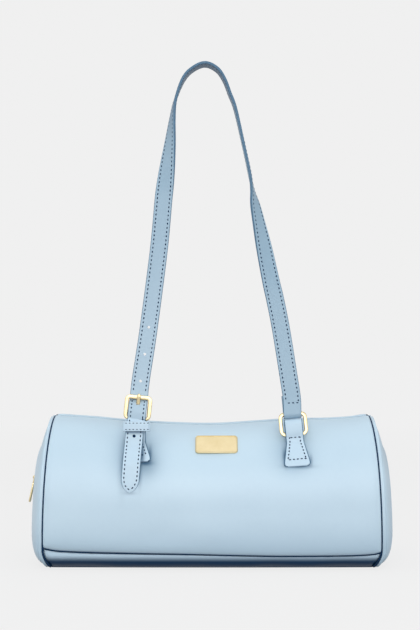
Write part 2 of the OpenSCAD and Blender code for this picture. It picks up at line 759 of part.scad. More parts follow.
// The tab's neck runs from the waist to the fold, leaning back
neck_low = skin_at(buckle_x, waist_z, (tab_front + tab_back) / 2);
neck_lean = atan2(-bar_y - neck_low[1], buckle_z - waist_z);
neck_out = [0, -cos(neck_lean), sin(neck_lean)];
neck_up = [0, sin(neck_lean), cos(neck_lean)];
neck_top = buckle_at + neck_out * heel_out;
function neck_point(share, off) =
    let (low = skin_at(buckle_x, waist_z, tab_front + off))
    mix(low, neck_top + neck_out * off, share);

// The strap's bend comes from behind the top rail and crosses the prong to the neck's front
strap_half = strap_t / 2;
over_tab = rest_gap + strap_half;
rail_y = heel_r + rest_gap + strap_half;
strap_from = rail_mid - frame_d / 2;
bend_shares = [0, 0.12, 0.3, 0.5, 0.7, 0.88, 1];
bend_start = neck_out * (heel_out + over_tab);
function bend_point(s) = [s * strap_from * sin(buckle_lean), mix(bend_start[1], rail_y, (1 - cos(180 * s)) / 2),
    mix(bend_start[2], strap_from, s)];

module strap_bend() {
    path = [for (s = bend_shares) buckle_at + bend_point(s)];
    middle = bend_point(0.5);
    slope = atan2(rail_y - bend_start[1], strap_from - bend_start[2]) * 1.3;
    slot_l = hole_d * 2.6;
    color(trim) difference() {
        sweep([for (i = [0 : len(path) - 1])
            let (along = way(path, i, false))
            ribbon_ring(path[i], along, unit(cross(along, [1, 0, 0])), strap_w, strap_t)]);
        translate(buckle_at + middle) rotate([-slope, 0, 0])
            translate([-hole_d / 2, -2 * strap_t, -slot_l / 2]) cube([hole_d, 4 * strap_t, slot_l]);
    }
}

// The tail runs down over the neck and the tab's foot, then on the leather to its point
tail_side = 4;
tail_point = strap_w * 0.55;
tail_cut = 0.9;
tip_z = buckle_z - tail_drop;
tail_zs = [waist_z - 2, mix(waist_z, foot_z_left, 0.55), foot_z_left - 1,
    foot_z_left - 6, foot_z_left - 11, tip_z + tail_point, tip_z + tail_point * 0.6,
    tip_z + tail_point * 0.3, tip_z + tail_point * 0.1, tip_z];
function tail_x(z) = -tail_side * (buckle_z - z) / tail_drop;
function tail_off(z) = rest_gap + strap_half
    + (tab_t + rest_gap) * lookup(z, [[foot_z_left - 11, 0], [foot_z_left - 6, 0.45],
        [foot_z_left - 1, 1]]);
tail_path = concat(
    [buckle_at + bend_start - neck_up * tail_cut],
    [for (share = [0.66, 0.33]) let (p = neck_point(share, over_tab)) p + [tail_x(p[2]), 0, 0]],
    [for (z = tail_zs) skin_at(buckle_x + tail_x(z), z, tail_off(z))]);
function tail_wide(z) =
    let (k = max(0, 1 - (z - tip_z) / tail_point))
    strap_w * max(0.12, sqrt(1 - k * k));

module strap_tail() {
    color(trim) difference() {
        sweep([for (i = [0 : len(tail_path) - 1])
            let (along = way(tail_path, i, false))
            ribbon_ring(tail_path[i], along, unit(cross([1, 0, 0], along)),
                tail_wide(tail_path[i][2]), strap_t)]);
        translate(skin_at(buckle_x + tail_x(tail_hole_z), tail_hole_z, 0)) rotate([90, 0, 0])
            cylinder(h = 14 * strap_t, r = hole_d / 2, center = true);
    }
}
tail_hole_z = buckle_z + strap_from * 0.5 - hole_pitch;

// Keeper: a closed loop sewn to the tab, round the tab's neck and the tail
keeper_share = 0.6;
keeper_slack = 2.7;
module keeper() {
    inner = tab_t + strap_t + 3 * rest_gap + keeper_slack;
    depth = inner + 2 * fold_t;
    mid = (strap_t + keeper_slack - rest_gap) / 2 - keeper_slack * 0.08;
    r = fold_t * 1.2;
    at = mix(neck_low, buckle_at, keeper_share) + neck_out * mid;
    color(trim) translate(at) rotate([-neck_lean, 0, 0]) difference() {
        translate([-keeper_w / 2, -depth / 2, -keeper_h / 2])
            rounded_plate(keeper_w, depth, keeper_h, r);
        translate([-keeper_w / 2 + fold_t, -inner / 2, -keeper_h / 2 - cut])
            cube([keeper_w - 2 * fold_t, inner, keeper_h + 2 * cut]);
    }
}

// Ring and right tab, both leaning towards the strap's crown
wire_r = ring_d / 2;
ring_at = [ring_x, -bar_y, ring_z];
ring_play = 1.6;
ring_fold_r = wire_r + ring_play;
bar_gap = ring_h - ring_d;
strap_fold_r = wire_r + 2 * pin_gap;
ring_fold_up = bar_gap - strap_fold_r - strap_t - ring_fold_r - fold_t - rest_gap;
ring_tip = 14;
module ring_frame() {
    translate(ring_at) rotate([0, -ring_lean, 0]) children();
}

module ring() {
    c = ring_r - wire_r;
    w = ring_w - ring_d;
    color(gold) ring_frame() rotate([-ring_tip, 0, 0]) {
        for (z = [0, bar_gap]) translate([0, 0, z]) rotate([0, 90, 0])
            cylinder(h = w - 2 * c, r = wire_r, center = true);
        for (x = [-w / 2, w / 2]) translate([x, 0, c]) cylinder(h = bar_gap - 2 * c, r = wire_r);
        for (q = [0 : 3]) translate([(q == 0 || q == 3 ? 1 : -1) * (w / 2 - c), 0,
            q < 2 ? bar_gap - c : c]) rotate([90, 0, 0]) rotate([0, 0, 90 * q])
            rotate_extrude(angle = 90) translate([c, 0]) circle(r = wire_r);
    }
}

module tab_right() {
    color(trim) tab_sheet(ring_at, ring_fold_r, ring_fold_up, ring_tip, ring_lean, foot_z_right,
        false);
}

// The strap's right end goes under the ring's upper bar and up again behind itself
flap_len = 15;
module strap_fold() {
    r0 = strap_fold_r;
    r1 = strap_fold_r + strap_t;
    color(trim) ring_frame() rotate([-ring_tip, 0, 0]) translate([0, 0, bar_gap])
        rotate([90, 0, 90]) linear_extrude(height = strap_w, center = true) {
            difference() {
                circle(r = r1);
                circle(r = r0);
                translate([-r1 - cut, 0]) square([2 * r1 + 2 * cut, r1 + cut]);
            }
            polygon([[r0, 0], [r1, 0], [r1, r0], [-r0 + strap_t + rest_gap, 4 * r0],
                [-r0 + strap_t + rest_gap, flap_len], [-r0 + rest_gap, flap_len],
                [-r0 + rest_gap, 4 * r0 - strap_t / 2]]);
        }
}

// The strap's arch: shares of the half span and of the rise, and the turn of its face
// from the outside of the arch at 0 to the front at 90
arch_shares = [[-0.953, 0.107, 90], [-0.858, 0.246, 90], [-0.728, 0.471, 90],
    [-0.67, 0.612, 90], [-0.654, 0.644, 88], [-0.627, 0.696, 70], [-0.611, 0.727, 48],
    [-0.584, 0.782, 28], [-0.559, 0.841, 14], [-0.521, 0.896, 4], [-0.42, 0.955, 0],
    [-0.3, 0.985, 0], [-0.135, 1, 0], [0.02, 0.985, 0], [0.115, 0.955, 0],
    [0.185, 0.915, 0], [0.26, 0.869, 0], [0.377, 0.754, 0], [0.445, 0.682, 0],
    [0.478, 0.64, 9], [0.512, 0.599, 30], [0.566, 0.54, 44], [0.63, 0.471, 62],
    [0.71, 0.384, 76], [0.766, 0.329, 88], [0.839, 0.246, 90], [0.938, 0.107, 90],
    [0.972, 0.055, 90]];
apex_y = -18;
arch_mid = (buckle_x + ring_x) / 2;
arch_half = (ring_x - buckle_x) / 2;
ring_up = [-sin(ring_lean) * cos(ring_tip), sin(ring_tip), cos(ring_lean) * cos(ring_tip)];
ring_out = [-sin(ring_lean) * sin(ring_tip), -cos(ring_tip), cos(ring_lean) * sin(ring_tip)];
ring_bar = ring_at + ring_up * bar_gap;
strap_start = buckle_at + bend_point(1) + [0, 0, 1.5 * rest_gap];
strap_stop = ring_bar + ring_up * 3 * rest_gap + ring_out * (strap_fold_r + strap_half);
function arch_point(p) =
    let (base_y = p[0] < 0 ? strap_start[1] : strap_stop[1])
    [arch_mid + p[0] * arch_half, mix(base_y, apex_y, p[1]), buckle_z + p[1] * strap_rise];
arch_steps = 2;
arch_path = spline(concat([strap_start], [for (p = arch_shares) arch_point(p)], [strap_stop]),
    arch_steps);
arch_turn = spline(concat([90], [for (p = arch_shares) p[2]], [90]), arch_steps);
function arch_normal(along, turn) =
    let (out = unit(cross([0, -1, 0], along)), n = out * cos(turn) + [0, -1, 0] * sin(turn))
    unit(n - along * (n * along));

module strap() {
    color(trim) difference() {
        sweep([for (i = [0 : len(arch_path) - 1])
            let (along = way(arch_path, i, false))
            ribbon_ring(arch_path[i], along, arch_normal(along, arch_turn[i]), strap_w, strap_t)]);
        for (k = [1 : 3]) hole_in_strap(k * hole_pitch + strap_from * 0.5);
    }
}
module hole_in_strap(up) {
    share = up / strap_rise;
    x = arch_mid + arch_half * lookup(share, left_leg_shares);
    translate([x, strap_start[1], buckle_z + up]) rotate([90, 0, 0])
        cylinder(h = 6 * strap_t, r = hole_d / 2, center = true);
}
left_leg_shares = [for (i = [0 : 5]) [arch_shares[i][1], arch_shares[i][0]]];

// Badge and what holds it
badge_x = 3.5;
badge_r = 2.5;
post_r = 1;
washer_r = 3.2;
badge_gap = rest_gap + sag * 0.05;
module on_badge(off, x = badge_x) {
    at = skin_at(x, badge_z, off);
    near = skin_at(x, badge_z - 1, off);
    lean = atan2(near[2] - at[2], near[1] - at[1]);
    translate(at) rotate([lean + 180, 0, 0]) children();
}

module badge() {
    color(gold) on_badge(badge_gap) {
        translate([-badge_w / 2, -badge_h / 2, 0]) rounded_plate(badge_w, badge_h, badge_t, badge_r);
    }
}

module badge_washers() {
    color("silver") for (k = [-1, 1])
        on_badge(-leather_t - 1.3 * layer_gap - tape_t, badge_x + k * badge_w / 3)
        cylinder(h = tape_t, r = washer_r);
}

// Patches between leather and lining, behind the two tabs
module patch(x) {
    half = tab_foot_w / 2 + tab_r;
    function grid(off) = [for (v = [0 : 3])
        [for (k = [1 : -1 : -1])
            skin_at(x + k * half, mix(foot_z_right - 1, waist_z + 2, v / 3), off)]];
    spare = tape_t / 7;
    slab(grid(-tape_w0 - spare), grid(-tape_w0 - tape_t + spare));
}

module tab_patches() {
    color(cloth) {
        patch(buckle_x);
        patch(ring_x);
    }
}

front_panel();
back_panel();
base_panel();
end_panel_left();
end_panel_right();
piping_left();
piping_right();
piping_base_front();
piping_base_back();
base_board();
lining_body();
lining_end_left();
lining_end_right();
slip_pocket();
zip_tape_front();
zip_tape_back();
zip_teeth_front();
zip_teeth_back();
zip_teeth_end();
zip_stops();
zip_slider();
zip_puller();
tab_left();
tab_right();
tab_patches();
keeper();
strap_tail();
strap_bend();
strap();
strap_fold();
buckle_frame();
buckle_prong();
ring();
badge();
badge_washers();
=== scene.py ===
# %% [markdown]
# A barrel shoulder bag in pale blue leather. The solid model of its parts is loaded first and
# stays where it is. This script dresses it: soft leather, thread, thin metal and a zip. Sizes
# are written in millimetres, as a bag maker would, and times MM they are Blender's metres.

# %% Load the solid model
import math
import bmesh
import bpy
from mathutils import Matrix, Vector, noise


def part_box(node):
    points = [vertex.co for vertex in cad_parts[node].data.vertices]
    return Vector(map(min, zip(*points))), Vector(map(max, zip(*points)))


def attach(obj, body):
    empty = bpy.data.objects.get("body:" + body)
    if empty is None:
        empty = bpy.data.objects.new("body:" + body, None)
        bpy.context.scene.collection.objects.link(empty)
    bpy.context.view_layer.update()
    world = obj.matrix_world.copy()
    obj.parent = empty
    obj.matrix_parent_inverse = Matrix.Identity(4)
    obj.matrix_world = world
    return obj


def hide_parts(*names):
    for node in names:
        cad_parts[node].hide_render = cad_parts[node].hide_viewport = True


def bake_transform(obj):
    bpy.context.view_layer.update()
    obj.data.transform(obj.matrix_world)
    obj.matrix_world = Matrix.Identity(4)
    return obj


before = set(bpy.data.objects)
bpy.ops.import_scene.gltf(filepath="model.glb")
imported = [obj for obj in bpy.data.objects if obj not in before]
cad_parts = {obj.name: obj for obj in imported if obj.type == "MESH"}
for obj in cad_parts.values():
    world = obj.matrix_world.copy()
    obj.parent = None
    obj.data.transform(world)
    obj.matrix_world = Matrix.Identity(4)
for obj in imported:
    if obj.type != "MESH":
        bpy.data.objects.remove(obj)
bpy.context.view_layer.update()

MM = 0.001
print("nodes in the solid model:", len(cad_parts))

# %% [markdown]
# The photograph looks straight at the front from a little over a metre away, at half the height
# of bag and strap. A long lens at that distance keeps the bag's proportions calm.

# %% Camera
CAMERA_AT, LENS, FILM_WIDTH = (-0.0017, -1.2, 0.2023), 82.3, 36
scene = bpy.context.scene
camera = bpy.data.objects.new("camera", bpy.data.cameras.new("camera"))
scene.collection.objects.link(camera)
camera.location, camera.rotation_euler = CAMERA_AT, (math.radians(90), 0, 0)
camera.data.lens, camera.data.sensor_width = LENS, FILM_WIDTH
scene.camera = camera
print("camera at", CAMERA_AT)

# %% [markdown]
# A product picture like this is taken in a white room. The room is the world's colour; the
# camera and mirrors see a pale grey instead, the paper behind the bag.

# %% Paper and room
PAPER, ROOM, ROOM_LIGHT = (0.871, 0.871, 0.871, 1), (0.97, 0.98, 1.0, 1), 0.56
world = bpy.data.worlds.new("white_room")
scene.world = world
world.use_nodes = True
tree = world.node_tree
room = tree.nodes["Background"]
seen, light_path, choice, either = (tree.nodes.new(f"ShaderNode{kind}") for kind in (
    "Background", "LightPath", "MixShader", "Math"))
either.operation = "MAXIMUM"
for socket, value in ((room.inputs["Color"], ROOM), (room.inputs["Strength"], ROOM_LIGHT),
                      (seen.inputs["Color"], PAPER)):
    socket.default_value = value
for start, end in ((light_path.outputs["Is Camera Ray"], either.inputs[0]),
                   (light_path.outputs["Is Glossy Ray"], either.inputs[1]),
                   (either.outputs[0], choice.inputs[0]), (room.outputs[0], choice.inputs[1]),
                   (seen.outputs[0], choice.inputs[2]),
                   (choice.outputs[0], tree.nodes["World Output"].inputs[0])):
    tree.links.new(start, end)
scene.view_settings.view_transform = "Standard"

# %% [markdown]
# The lamps are large soft squares aimed at the bag: the main one in front, a weaker one at each
# side and one above. Each has a place, an aim, a width and its watts.

# %% Lamps


def lamp(name, place, aim, size, watts):
    light = bpy.data.lights.new(name, "AREA")
    light.shape, light.size, light.energy = "SQUARE", size, watts
    holder = bpy.data.objects.new(name, light)
    scene.collection.objects.link(holder)
    holder.location = place
    holder.rotation_euler = (Vector(aim) - Vector(place)).to_track_quat("-Z", "Y").to_euler()


for setting in (("front_box", (0.05, -1.5, 0.42), (0, 0, 0.09), 1.1, 13.0),
                ("left_box", (-1.2, -0.35, 0.45), (-0.1, 0, 0.08), 1.0, 3.4),
                ("right_box", (1.2, -0.35, 0.45), (0.1, 0, 0.08), 1.0, 3.0),
                ("top_box", (0.0, 0.2, 1.2), (0, 0, 0.1), 1.2, 3.4)):
    lamp(*setting)

# %% [markdown]
# A finish is a material with its nodes. Writing shader maths as Python sums is easier to read
# than wiring boxes, so a small class wraps a socket and adds a Math node for each operator.

# %% Shader sums


class Channel:
    def __init__(self, finish, socket):
        self.finish, self.socket = finish, socket

    def __add__(self, other):
        return self.finish.maths("ADD", self, other)

    def __sub__(self, other):
        return self.finish.maths("SUBTRACT", self, other)

    def __mul__(self, other):
        return self.finish.maths("MULTIPLY", self, other)


# %% [markdown]
# The material itself is held by a second class, which adds a node and joins a number or another
# channel to each of its sockets.

# %% Material and its nodes


class Painted:
    def __init__(self, name, colour, roughness, metallic=0.0, coat=0.0):
        self.material = bpy.data.materials.new(name)
        self.material.use_nodes = True
        self.tree = self.material.node_tree
        self.shader = self.tree.nodes["Principled BSDF"]
        for socket, value in (("Base Color", colour), ("Roughness", roughness),
                              ("Metallic", metallic), ("Coat Weight", coat)):
            self.set(socket, value)
        self.place = self.node("ShaderNodeTexCoord", {}, {}, "Object")

    def join(self, value, socket):
        if isinstance(value, Channel):
            self.tree.links.new(value.socket, socket)
        else:
            socket.default_value = value

    def set(self, name, value):
        self.join(value, self.shader.inputs[name])

    def node(self, kind, settings, sockets, output=0):
        made = self.tree.nodes.new(kind)
        for key, value in settings.items():
            setattr(made, key, value)
        for key, value in sockets.items():
            self.join(value, made.inputs[key])
        return Channel(self, made.outputs[output])


# %% [markdown]
# A finish adds what all the materials use: mixed colours, the place along one axis, noise, cells
# and bumps. Colours are given as a screen shows them, from 0 to 255.

# %% Finish of a material
MIX_FIRST, MIX_SECOND, MIX_COLOUR = 6, 7, 2


class Finish(Painted):
    def maths(self, operation, first, second):
        return self.node("ShaderNodeMath", {"operation": operation}, {0: first, 1: second})

    def mix(self, share, first, second):
        return self.node("ShaderNodeMix", {"data_type": "RGBA"},
                         {0: share, MIX_FIRST: first, MIX_SECOND: second}, MIX_COLOUR)

    def axis(self, letter):
        return self.node("ShaderNodeSeparateXYZ", {}, {"Vector": self.place}, letter)

    def noise(self, scale, detail=3, roughness=0.5):
        return self.node("ShaderNodeTexNoise", {}, {"Vector": self.place, "Scale": scale,
                         "Detail": detail, "Roughness": roughness})

    def cells(self, scale):
        return self.node("ShaderNodeTexVoronoi", {}, {"Vector": self.place, "Scale": scale},
                         "Distance")

    def bump(self, height, strength, distance):
        self.set("Normal", self.node("ShaderNodeBump", {}, {
            "Height": height, "Strength": strength, "Distance": distance * MM}))


def srgb(red, green, blue):
    return (*(((c / 255 + 0.055) / 1.055) ** 2.4 for c in (red, green, blue)), 1)


# %% [markdown]
# Leather of this kind is split hide with a thin painted face. Seen close, it has fine pebbles a
# third of a millimetre wide, soft cloudy changes of tone, and a slight gloss that is duller in
# the valleys. Voronoi cells make the pebbles, and wide noise makes the clouds.

# %% Leather
CLOUDS, CREASED, COAT, COAT_ROUGHNESS = 9, 260, 0.12, 0.35


def leather(name, light, dark, gloss, pebble=3400, depth=0.12, shades=(), shine=0.5):
    finish = Finish(name, light, gloss, coat=COAT * shine)
    finish.set("Specular IOR Level", shine)
    finish.set("Coat Roughness", COAT_ROUGHNESS)
    clouds, pores = finish.noise(CLOUDS, 4), finish.cells(pebble)
    creases = finish.noise(CREASED, 5, 0.6)
    colour = finish.mix(clouds * 0.75 + creases * 0.25, light, dark)
    for shade, deep in shades:
        colour = finish.mix(shade(finish), colour, deep)
    finish.set("Base Color", colour)
    finish.set("Roughness", clouds * 0.10 + pores * 0.12 + (gloss - 0.08))
    finish.bump(pores * 0.6 + creases * 0.8, depth, 0.4)
    return finish.material


# %% [markdown]
# Shade is painted into the leather's colour where less light reaches it: in a hollow, in a
# fold and close to the table. A painted shade either fades along one axis or is a round spot
# with soft edges on the front of the bag.

# %% Shades


def fading(letter, start, stop, most):
    return lambda finish: finish.node(
        "ShaderNodeMapRange", {"interpolation_type": "SMOOTHSTEP"},
        {"Value": finish.axis(letter), "From Min": start * MM, "From Max": stop * MM,
         "To Min": 0.0, "To Max": most})


def round_spot(x, z, wide, high, most):
    def shade(finish):
        across = (finish.axis("X") - x * MM) * (1 / (wide * MM))
        up = (finish.axis("Z") - z * MM) * (1 / (high * MM))
        fade = finish.maths("POWER", 0.5, across * across + up * up)
        return fade * finish.maths("LESS_THAN", finish.axis("Y"), 0.0) * most
    return shade


# %% [markdown]
# Shade is painted into the body's colour: a little towards its crown, its base and its right
# end, and more beside the two tabs. The narrow spots are painted contact shadows along the feet
# of the tabs and beside the strap's tail.

# %% Leather of the body
HOLLOW_SHADE, CONTACT_SHADOW = srgb(128, 162, 186), srgb(58, 98, 130)
painted_body_shades = [(fading("Z", 40, 13, 0.26), srgb(136, 170, 195)),
           (fading("Z", 66, 122, 0.5), srgb(172, 197, 212)),
           (round_spot(-60.0, 88.0, 13, 16, 0.65), HOLLOW_SHADE),
           (round_spot(-51.0, 85.0, 7, 8, 0.45), srgb(92, 126, 150)),
           (round_spot(63.0, 93.0, 12, 13, 0.5), HOLLOW_SHADE),
           (round_spot(144.0, 101.0, 5, 15, 0.6), srgb(98, 126, 144)),
           (fading("X", 136, 146, 0.22), HOLLOW_SHADE)]
painted_body_shades += [(round_spot(*spot), CONTACT_SHADOW) for spot in (
    (58.0, 90, 1.7, 5, 0.75), (69, 82.2, 8, 1.2, 0.75), (78.6, 87, 1.1, 3, 0.5),
    (-49.6, 91, 1.3, 4.5, 0.8), (-53, 84.5, 4.5, 1.3, 0.9), (-57.2, 77, 1.3, 8, 0.5),
    (-71.4, 80, 2.2, 14, 0.35), (-65, 61.8, 4, 1.2, 0.35))]
body_leather = leather("body_leather", srgb(204, 227, 240), srgb(189, 213, 230), 0.42,
                       shades=painted_body_shades)
# The base's colour is painted darker towards the table, as shade where the leather turns under.
base_leather = leather("base_leather", srgb(203, 227, 242), srgb(189, 214, 232), 0.42,
                       shades=[(fading("Z", 12.6, 5.8, 1.0), srgb(8, 50, 84))], shine=0.15)

# %% [markdown]
# The strap's colour is painted a tone deeper than the body's, as shade, deeper still up its
# legs and on its right branch, and deepest over its crown, where it stands edge-on and its
# underside is in shadow. The edges are painted a dark blue that also stands in for their shade,
# and the seam cord is darkest of all: edge paint and the painted shadow of the seam's groove.

# %% Leather of the strap and the tabs
STRAP_SHADE = srgb(122, 156, 178)
strap_leather = leather("strap_leather", srgb(180, 204, 220), srgb(163, 189, 208), 0.46, shades=[
    (fading("Z", 150, 320, 0.5), STRAP_SHADE), (fading("X", 0, 45, 0.4), STRAP_SHADE),
    (fading("Z", 340, 394, 0.85), srgb(66, 102, 132))])
TAB_TONES = srgb(199, 222, 237), srgb(183, 208, 226), 0.44
tab_leather = leather("tab_leather", *TAB_TONES)
# The tail gets a painted shadow under the keeper, the left tab's face one beside the tail.
tail_leather = leather("tail_leather", *TAB_TONES, shades=[
    (round_spot(-62.3, 109.2, 60, 1.5, 0.9), CONTACT_SHADOW)])
under_tail = leather("under_tail_leather", *TAB_TONES, shades=[
    (round_spot(-55.6, 92, 1.5, 9, 0.9), CONTACT_SHADOW)])
# Dark blue edge paint, made darker still as painted shade along the cut edges.
edge_paint_and_shade = leather("edge_paint_and_shade", srgb(92, 128, 154), srgb(70, 104, 132), 0.4, pebble=900,
                     depth=0.1, shine=0.3)
# Dark seam paint, also used as painted shade: the shadow in the seams' grooves, under the keeper's
# lower edge and inside the tail's hole.
seam_paint_and_shade = leather("seam_paint_and_shade", srgb(26, 56, 88), srgb(16, 42, 70), 0.62, pebble=900,
                     depth=0.1, shine=0.1)
print("leathers made")

# %% [markdown]
# Thread is twisted yarn, dark blue here. A wave along each stitch would turn with it, so fine
# noise is used, which reads the same at this size. The stiff board of the base is coarser.

# %% Thread and board


def fibrous(name, light, dark, roughness, scale, detail, strength, distance, shine=0.5):
    finish = Finish(name, light, roughness)
    finish.set("Specular IOR Level", shine)
    fibres = finish.noise(scale, detail)
    finish.set("Base Color", finish.mix(fibres, light, dark))
    finish.bump(fibres, strength, distance)
    return finish.material


thread = fibrous("thread", srgb(22, 56, 92), srgb(8, 34, 64), 0.6, scale=2600, detail=2,
                 strength=0.4, distance=0.2, shine=0.1)
board = fibrous("board", srgb(82, 84, 88), srgb(56, 58, 62), 0.8, scale=300, detail=4,
                strength=0.3, distance=0.3)

# %% [markdown]
# Cloth is woven: two waves cross, and their product is bright where both threads are on top.

# %% Cloth and tape


def woven(name, light, dark, pitch):
    finish = Finish(name, light, 0.8)
    warp, weft = (finish.node("ShaderNodeTexWave", {"bands_direction": way}, {
        "Vector": finish.place, "Scale": 1 / pitch, "Distortion": 0.4})
        for way in ("X", "DIAGONAL"))
    tone = warp * weft
    finish.set("Base Color", finish.mix(tone, dark, light))
    finish.bump(tone, 0.5, 0.3)
    return finish.material


tape_cloth = woven("tape_cloth", srgb(176, 202, 220), srgb(140, 170, 194), 0.012)
lining_cloth = woven("lining_cloth", srgb(150, 172, 190), srgb(120, 142, 162), 0.010)

# %% [markdown]
# The fittings are cast zinc with a pale gold plating. It is a mirror with tiny polishing marks,
# so its roughness changes a little over the surface and nothing else does.

# %% Metals


def plated(name, light, dark, roughness):
    finish = Finish(name, light, roughness, metallic=1.0)
    marks = finish.noise(110, 4, 0.6)
    finish.set("Base Color", finish.mix(marks, light, dark))
    finish.set("Roughness", marks * 0.14 + (roughness - 0.05))
    finish.bump(marks, 0.05, 0.2)
    return finish.material


gold = plated("pale_gold", srgb(217, 203, 166), srgb(194, 176, 134), 0.29)
satin_gold = plated("satin_gold", srgb(220, 206, 170), srgb(200, 182, 138), 0.32)
# A darker gold for the inner sides of the cast bars: a painted reflection of dark surroundings.
dark_reflection_gold = plated("dark_reflection_gold", srgb(120, 96, 56), srgb(84, 64, 34), 0.45)
steel = plated("steel", srgb(200, 202, 205), srgb(170, 172, 175), 0.35)
print("metals made")

# %% [markdown]
# Every piece goes through one door: a bmesh becomes an object at the origin, gets its finish,
# rides on a body of the solid model and may stand for one of its nodes.

# %% Finished pieces


def as_object(bm, name):
    mesh = bpy.data.meshes.new(name)
    bm.to_mesh(mesh)
    bm.free()
    made = bpy.data.objects.new(name, mesh)
    scene.collection.objects.link(made)
    return made


def piece(bm, name, body, materials, nodes=()):
    for face in bm.faces:
        face.smooth = True
    made = as_object(bm, name)
    for material in materials:
        made.data.materials.append(material)
    if body:
        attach(made, body)
    if nodes:
        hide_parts(*nodes)
    print(name, len(made.data.polygons), "faces")
    return made


# %% [markdown]
# A sheet starts as a flat grid and is bent into place. It keeps its flat place as a map, by
# which its edges are found later, and it may get the thickness of the hide or of the cloth.

# %% Sheets


def bent_grid(columns, rows, place):
    bm = bmesh.new()
    bmesh.ops.create_grid(bm, x_segments=columns, y_segments=rows, size=0.5)
    sheet = bm.loops.layers.uv.new("sheet")
    for face in bm.faces:
        for loop in face.loops:
            loop[sheet].uv = loop.vert.co.xy + Vector((0.5, 0.5))
    for vert in bm.verts:
        vert.co = place(vert.co.x + 0.5, vert.co.y + 0.5) * MM
    return bm


def facing_out(bm):
    bmesh.ops.recalc_face_normals(bm, faces=bm.faces)
    return bm


def closed_up(bm):
    bmesh.ops.remove_doubles(bm, verts=bm.verts, dist=2e-6)
    open_edges = [edge for edge in bm.edges if edge.is_boundary]
    if open_edges:
        bmesh.ops.holes_fill(bm, edges=open_edges, sides=0)
    return facing_out(bm)


def soft_sheet(bm, name, material, nodes=(), mm=0.0, offset=-1.0):
    made = piece(bm, name, "bag", [material], nodes)
    if mm:
        shell = made.modifiers.new("thickness", "SOLIDIFY")
        shell.thickness, shell.offset, shell.use_even_offset = mm * MM, offset, True


# %% [markdown]
# The bag's section is round on top and squarer below, like a loaf. One function gives the point
# at an angle from the crown (0) past the widest line (90) to the middle of the base (180), and
# smooth curves through a few heights give the sag of the top and the lean of the end seams.

# %% Shape of the body
HALF_LEN, HALF_DEPTH, HEIGHT, BELLY = 132.0, 63.0, 118.5, 50.0
CROWN, SAG, PINCH, BULGE = 2.25, 8.0, 1.5, 14.7
SEAM_Z, PIPING, LEATHER = 14.0, 1.7, 2.0
SEAM_ANGLE, SEAM_OUT = 127.8, 1.2
SEAM_WAVE = [(-1, -4.6), (-0.9, -2.4), (-0.55, -0.8), (-0.1, 0.4), (0.4, 2.2), (0.8, 1.8),
             (0.95, 0.6), (1, -1.2)]
SIDE_Y = [(0, 1), (0.12, 1), (0.24, 0.992), (0.34, 0.978), (0.42, 0.957), (0.5, 0.93),
          (0.58, 0.88), (0.66, 0.8), (0.74, 0.7), (1, 0)]
SIDE_Z = [(0, 1), (0.12, 0.74), (0.24, 0.46), (0.34, 0.2), (0.42, 0)]
CORNER_SHARE = 0.42
CORNER_Z = [(CORNER_SHARE, 1), (0.5, 0.6), (0.58, 0.27), (0.66, 0.07), (0.74, 0), (1, 0)]
SEAM_X = [(0, 0.957), (0.045, 0.983), (0.12, 1.005), (0.4, 1), (0.75, 0.985), (1, 0.97)]
DOME_TOP = [(0, 1), (0.142, 0.995), (0.6, 0.765), (0.7, 0.59), (0.82, 0.44), (0.905, 0.32),
            (0.965, 0.2), (1, 0)]
DOME_LOW = [(0, 1), (0.142, 1), (0.6, 0.965), (0.7, 0.92), (0.82, 0.78), (0.905, 0.6),
            (0.965, 0.36), (1, 0)]
CREST = [(-1, 0), (-0.9, 0.12), (-0.75, 0.29), (-0.55, 0.6), (-0.3, 0.86), (0, 1), (0.3, 0.71),
         (0.55, 0.46), (0.75, 0.42), (0.9, 0.26), (1, 0)]

# %% [markdown]
# A curve runs through a few stations as a cubic from each to the next. Its slopes are held back,
# so that a level stretch stays level.

# %% Curve through stations


def through(x, stations):
    if x <= stations[0][0]:
        return stations[0][1]
    for i in range(len(stations) - 1):
        (x0, y0), (x1, y1) = stations[i], stations[i + 1]
        if x <= x1:
            before, after = stations[max(i - 1, 0)], stations[min(i + 2, len(stations) - 1)]
            slope = (y1 - y0) / (x1 - x0)
            m0 = slope if i == 0 else (y1 - before[1]) / (x1 - before[0])
            m1 = slope if i + 2 == len(stations) else (after[1] - y0) / (after[0] - x0)
            m0 = 0 if m0 * slope <= 0 else math.copysign(min(abs(m0), 3 * abs(slope)), slope)
            m1 = 0 if m1 * slope <= 0 else math.copysign(min(abs(m1), 3 * abs(slope)), slope)
            s, step = (x - x0) / (x1 - x0), x1 - x0
            return (y0 * (2 * s**3 - 3 * s**2 + 1) + y1 * (3 * s**2 - 2 * s**3)
                    + step * m0 * (s**3 - 2 * s**2 + s) + step * m1 * (s**3 - s**2))
    return stations[-1][1]


# %% [markdown]
# These give the height of the crown and the depth along the bag, and the section: the point at
# an angle from the crown. The corner above the table is squarer than the rest.

# %% Section of the body


def top_height(u):
    return HEIGHT - SAG * through(u, CREST)


def half_depth(u):
    return HALF_DEPTH - PINCH * u * u


def side_z(q):
    if q <= CORNER_SHARE:
        return SEAM_Z + (BELLY - SEAM_Z) * through(q, SIDE_Z)
    return SEAM_Z * through(q, CORNER_Z)


def section(angle, depth, height, lift=0.0):
    if angle <= 90:
        a = math.radians(max(angle, 0))
        return (depth * math.sin(a) ** (2 / CROWN),
                BELLY + (height - BELLY) * max(math.cos(a), 0) ** (2 / CROWN))
    q = angle / 90 - 1
    return depth * through(q, SIDE_Y), lift + (1 - lift / BELLY) * side_z(q)


def seam_x(z):
    return HALF_LEN * through(z / HEIGHT, SEAM_X)


def angle_at(y, depth):
    return math.degrees(math.asin(min(1, (y / depth) ** (CROWN / 2))))


def seam_angle(u, side):
    return SEAM_ANGLE + (through(u, SEAM_WAVE) if side < 0 else 0)


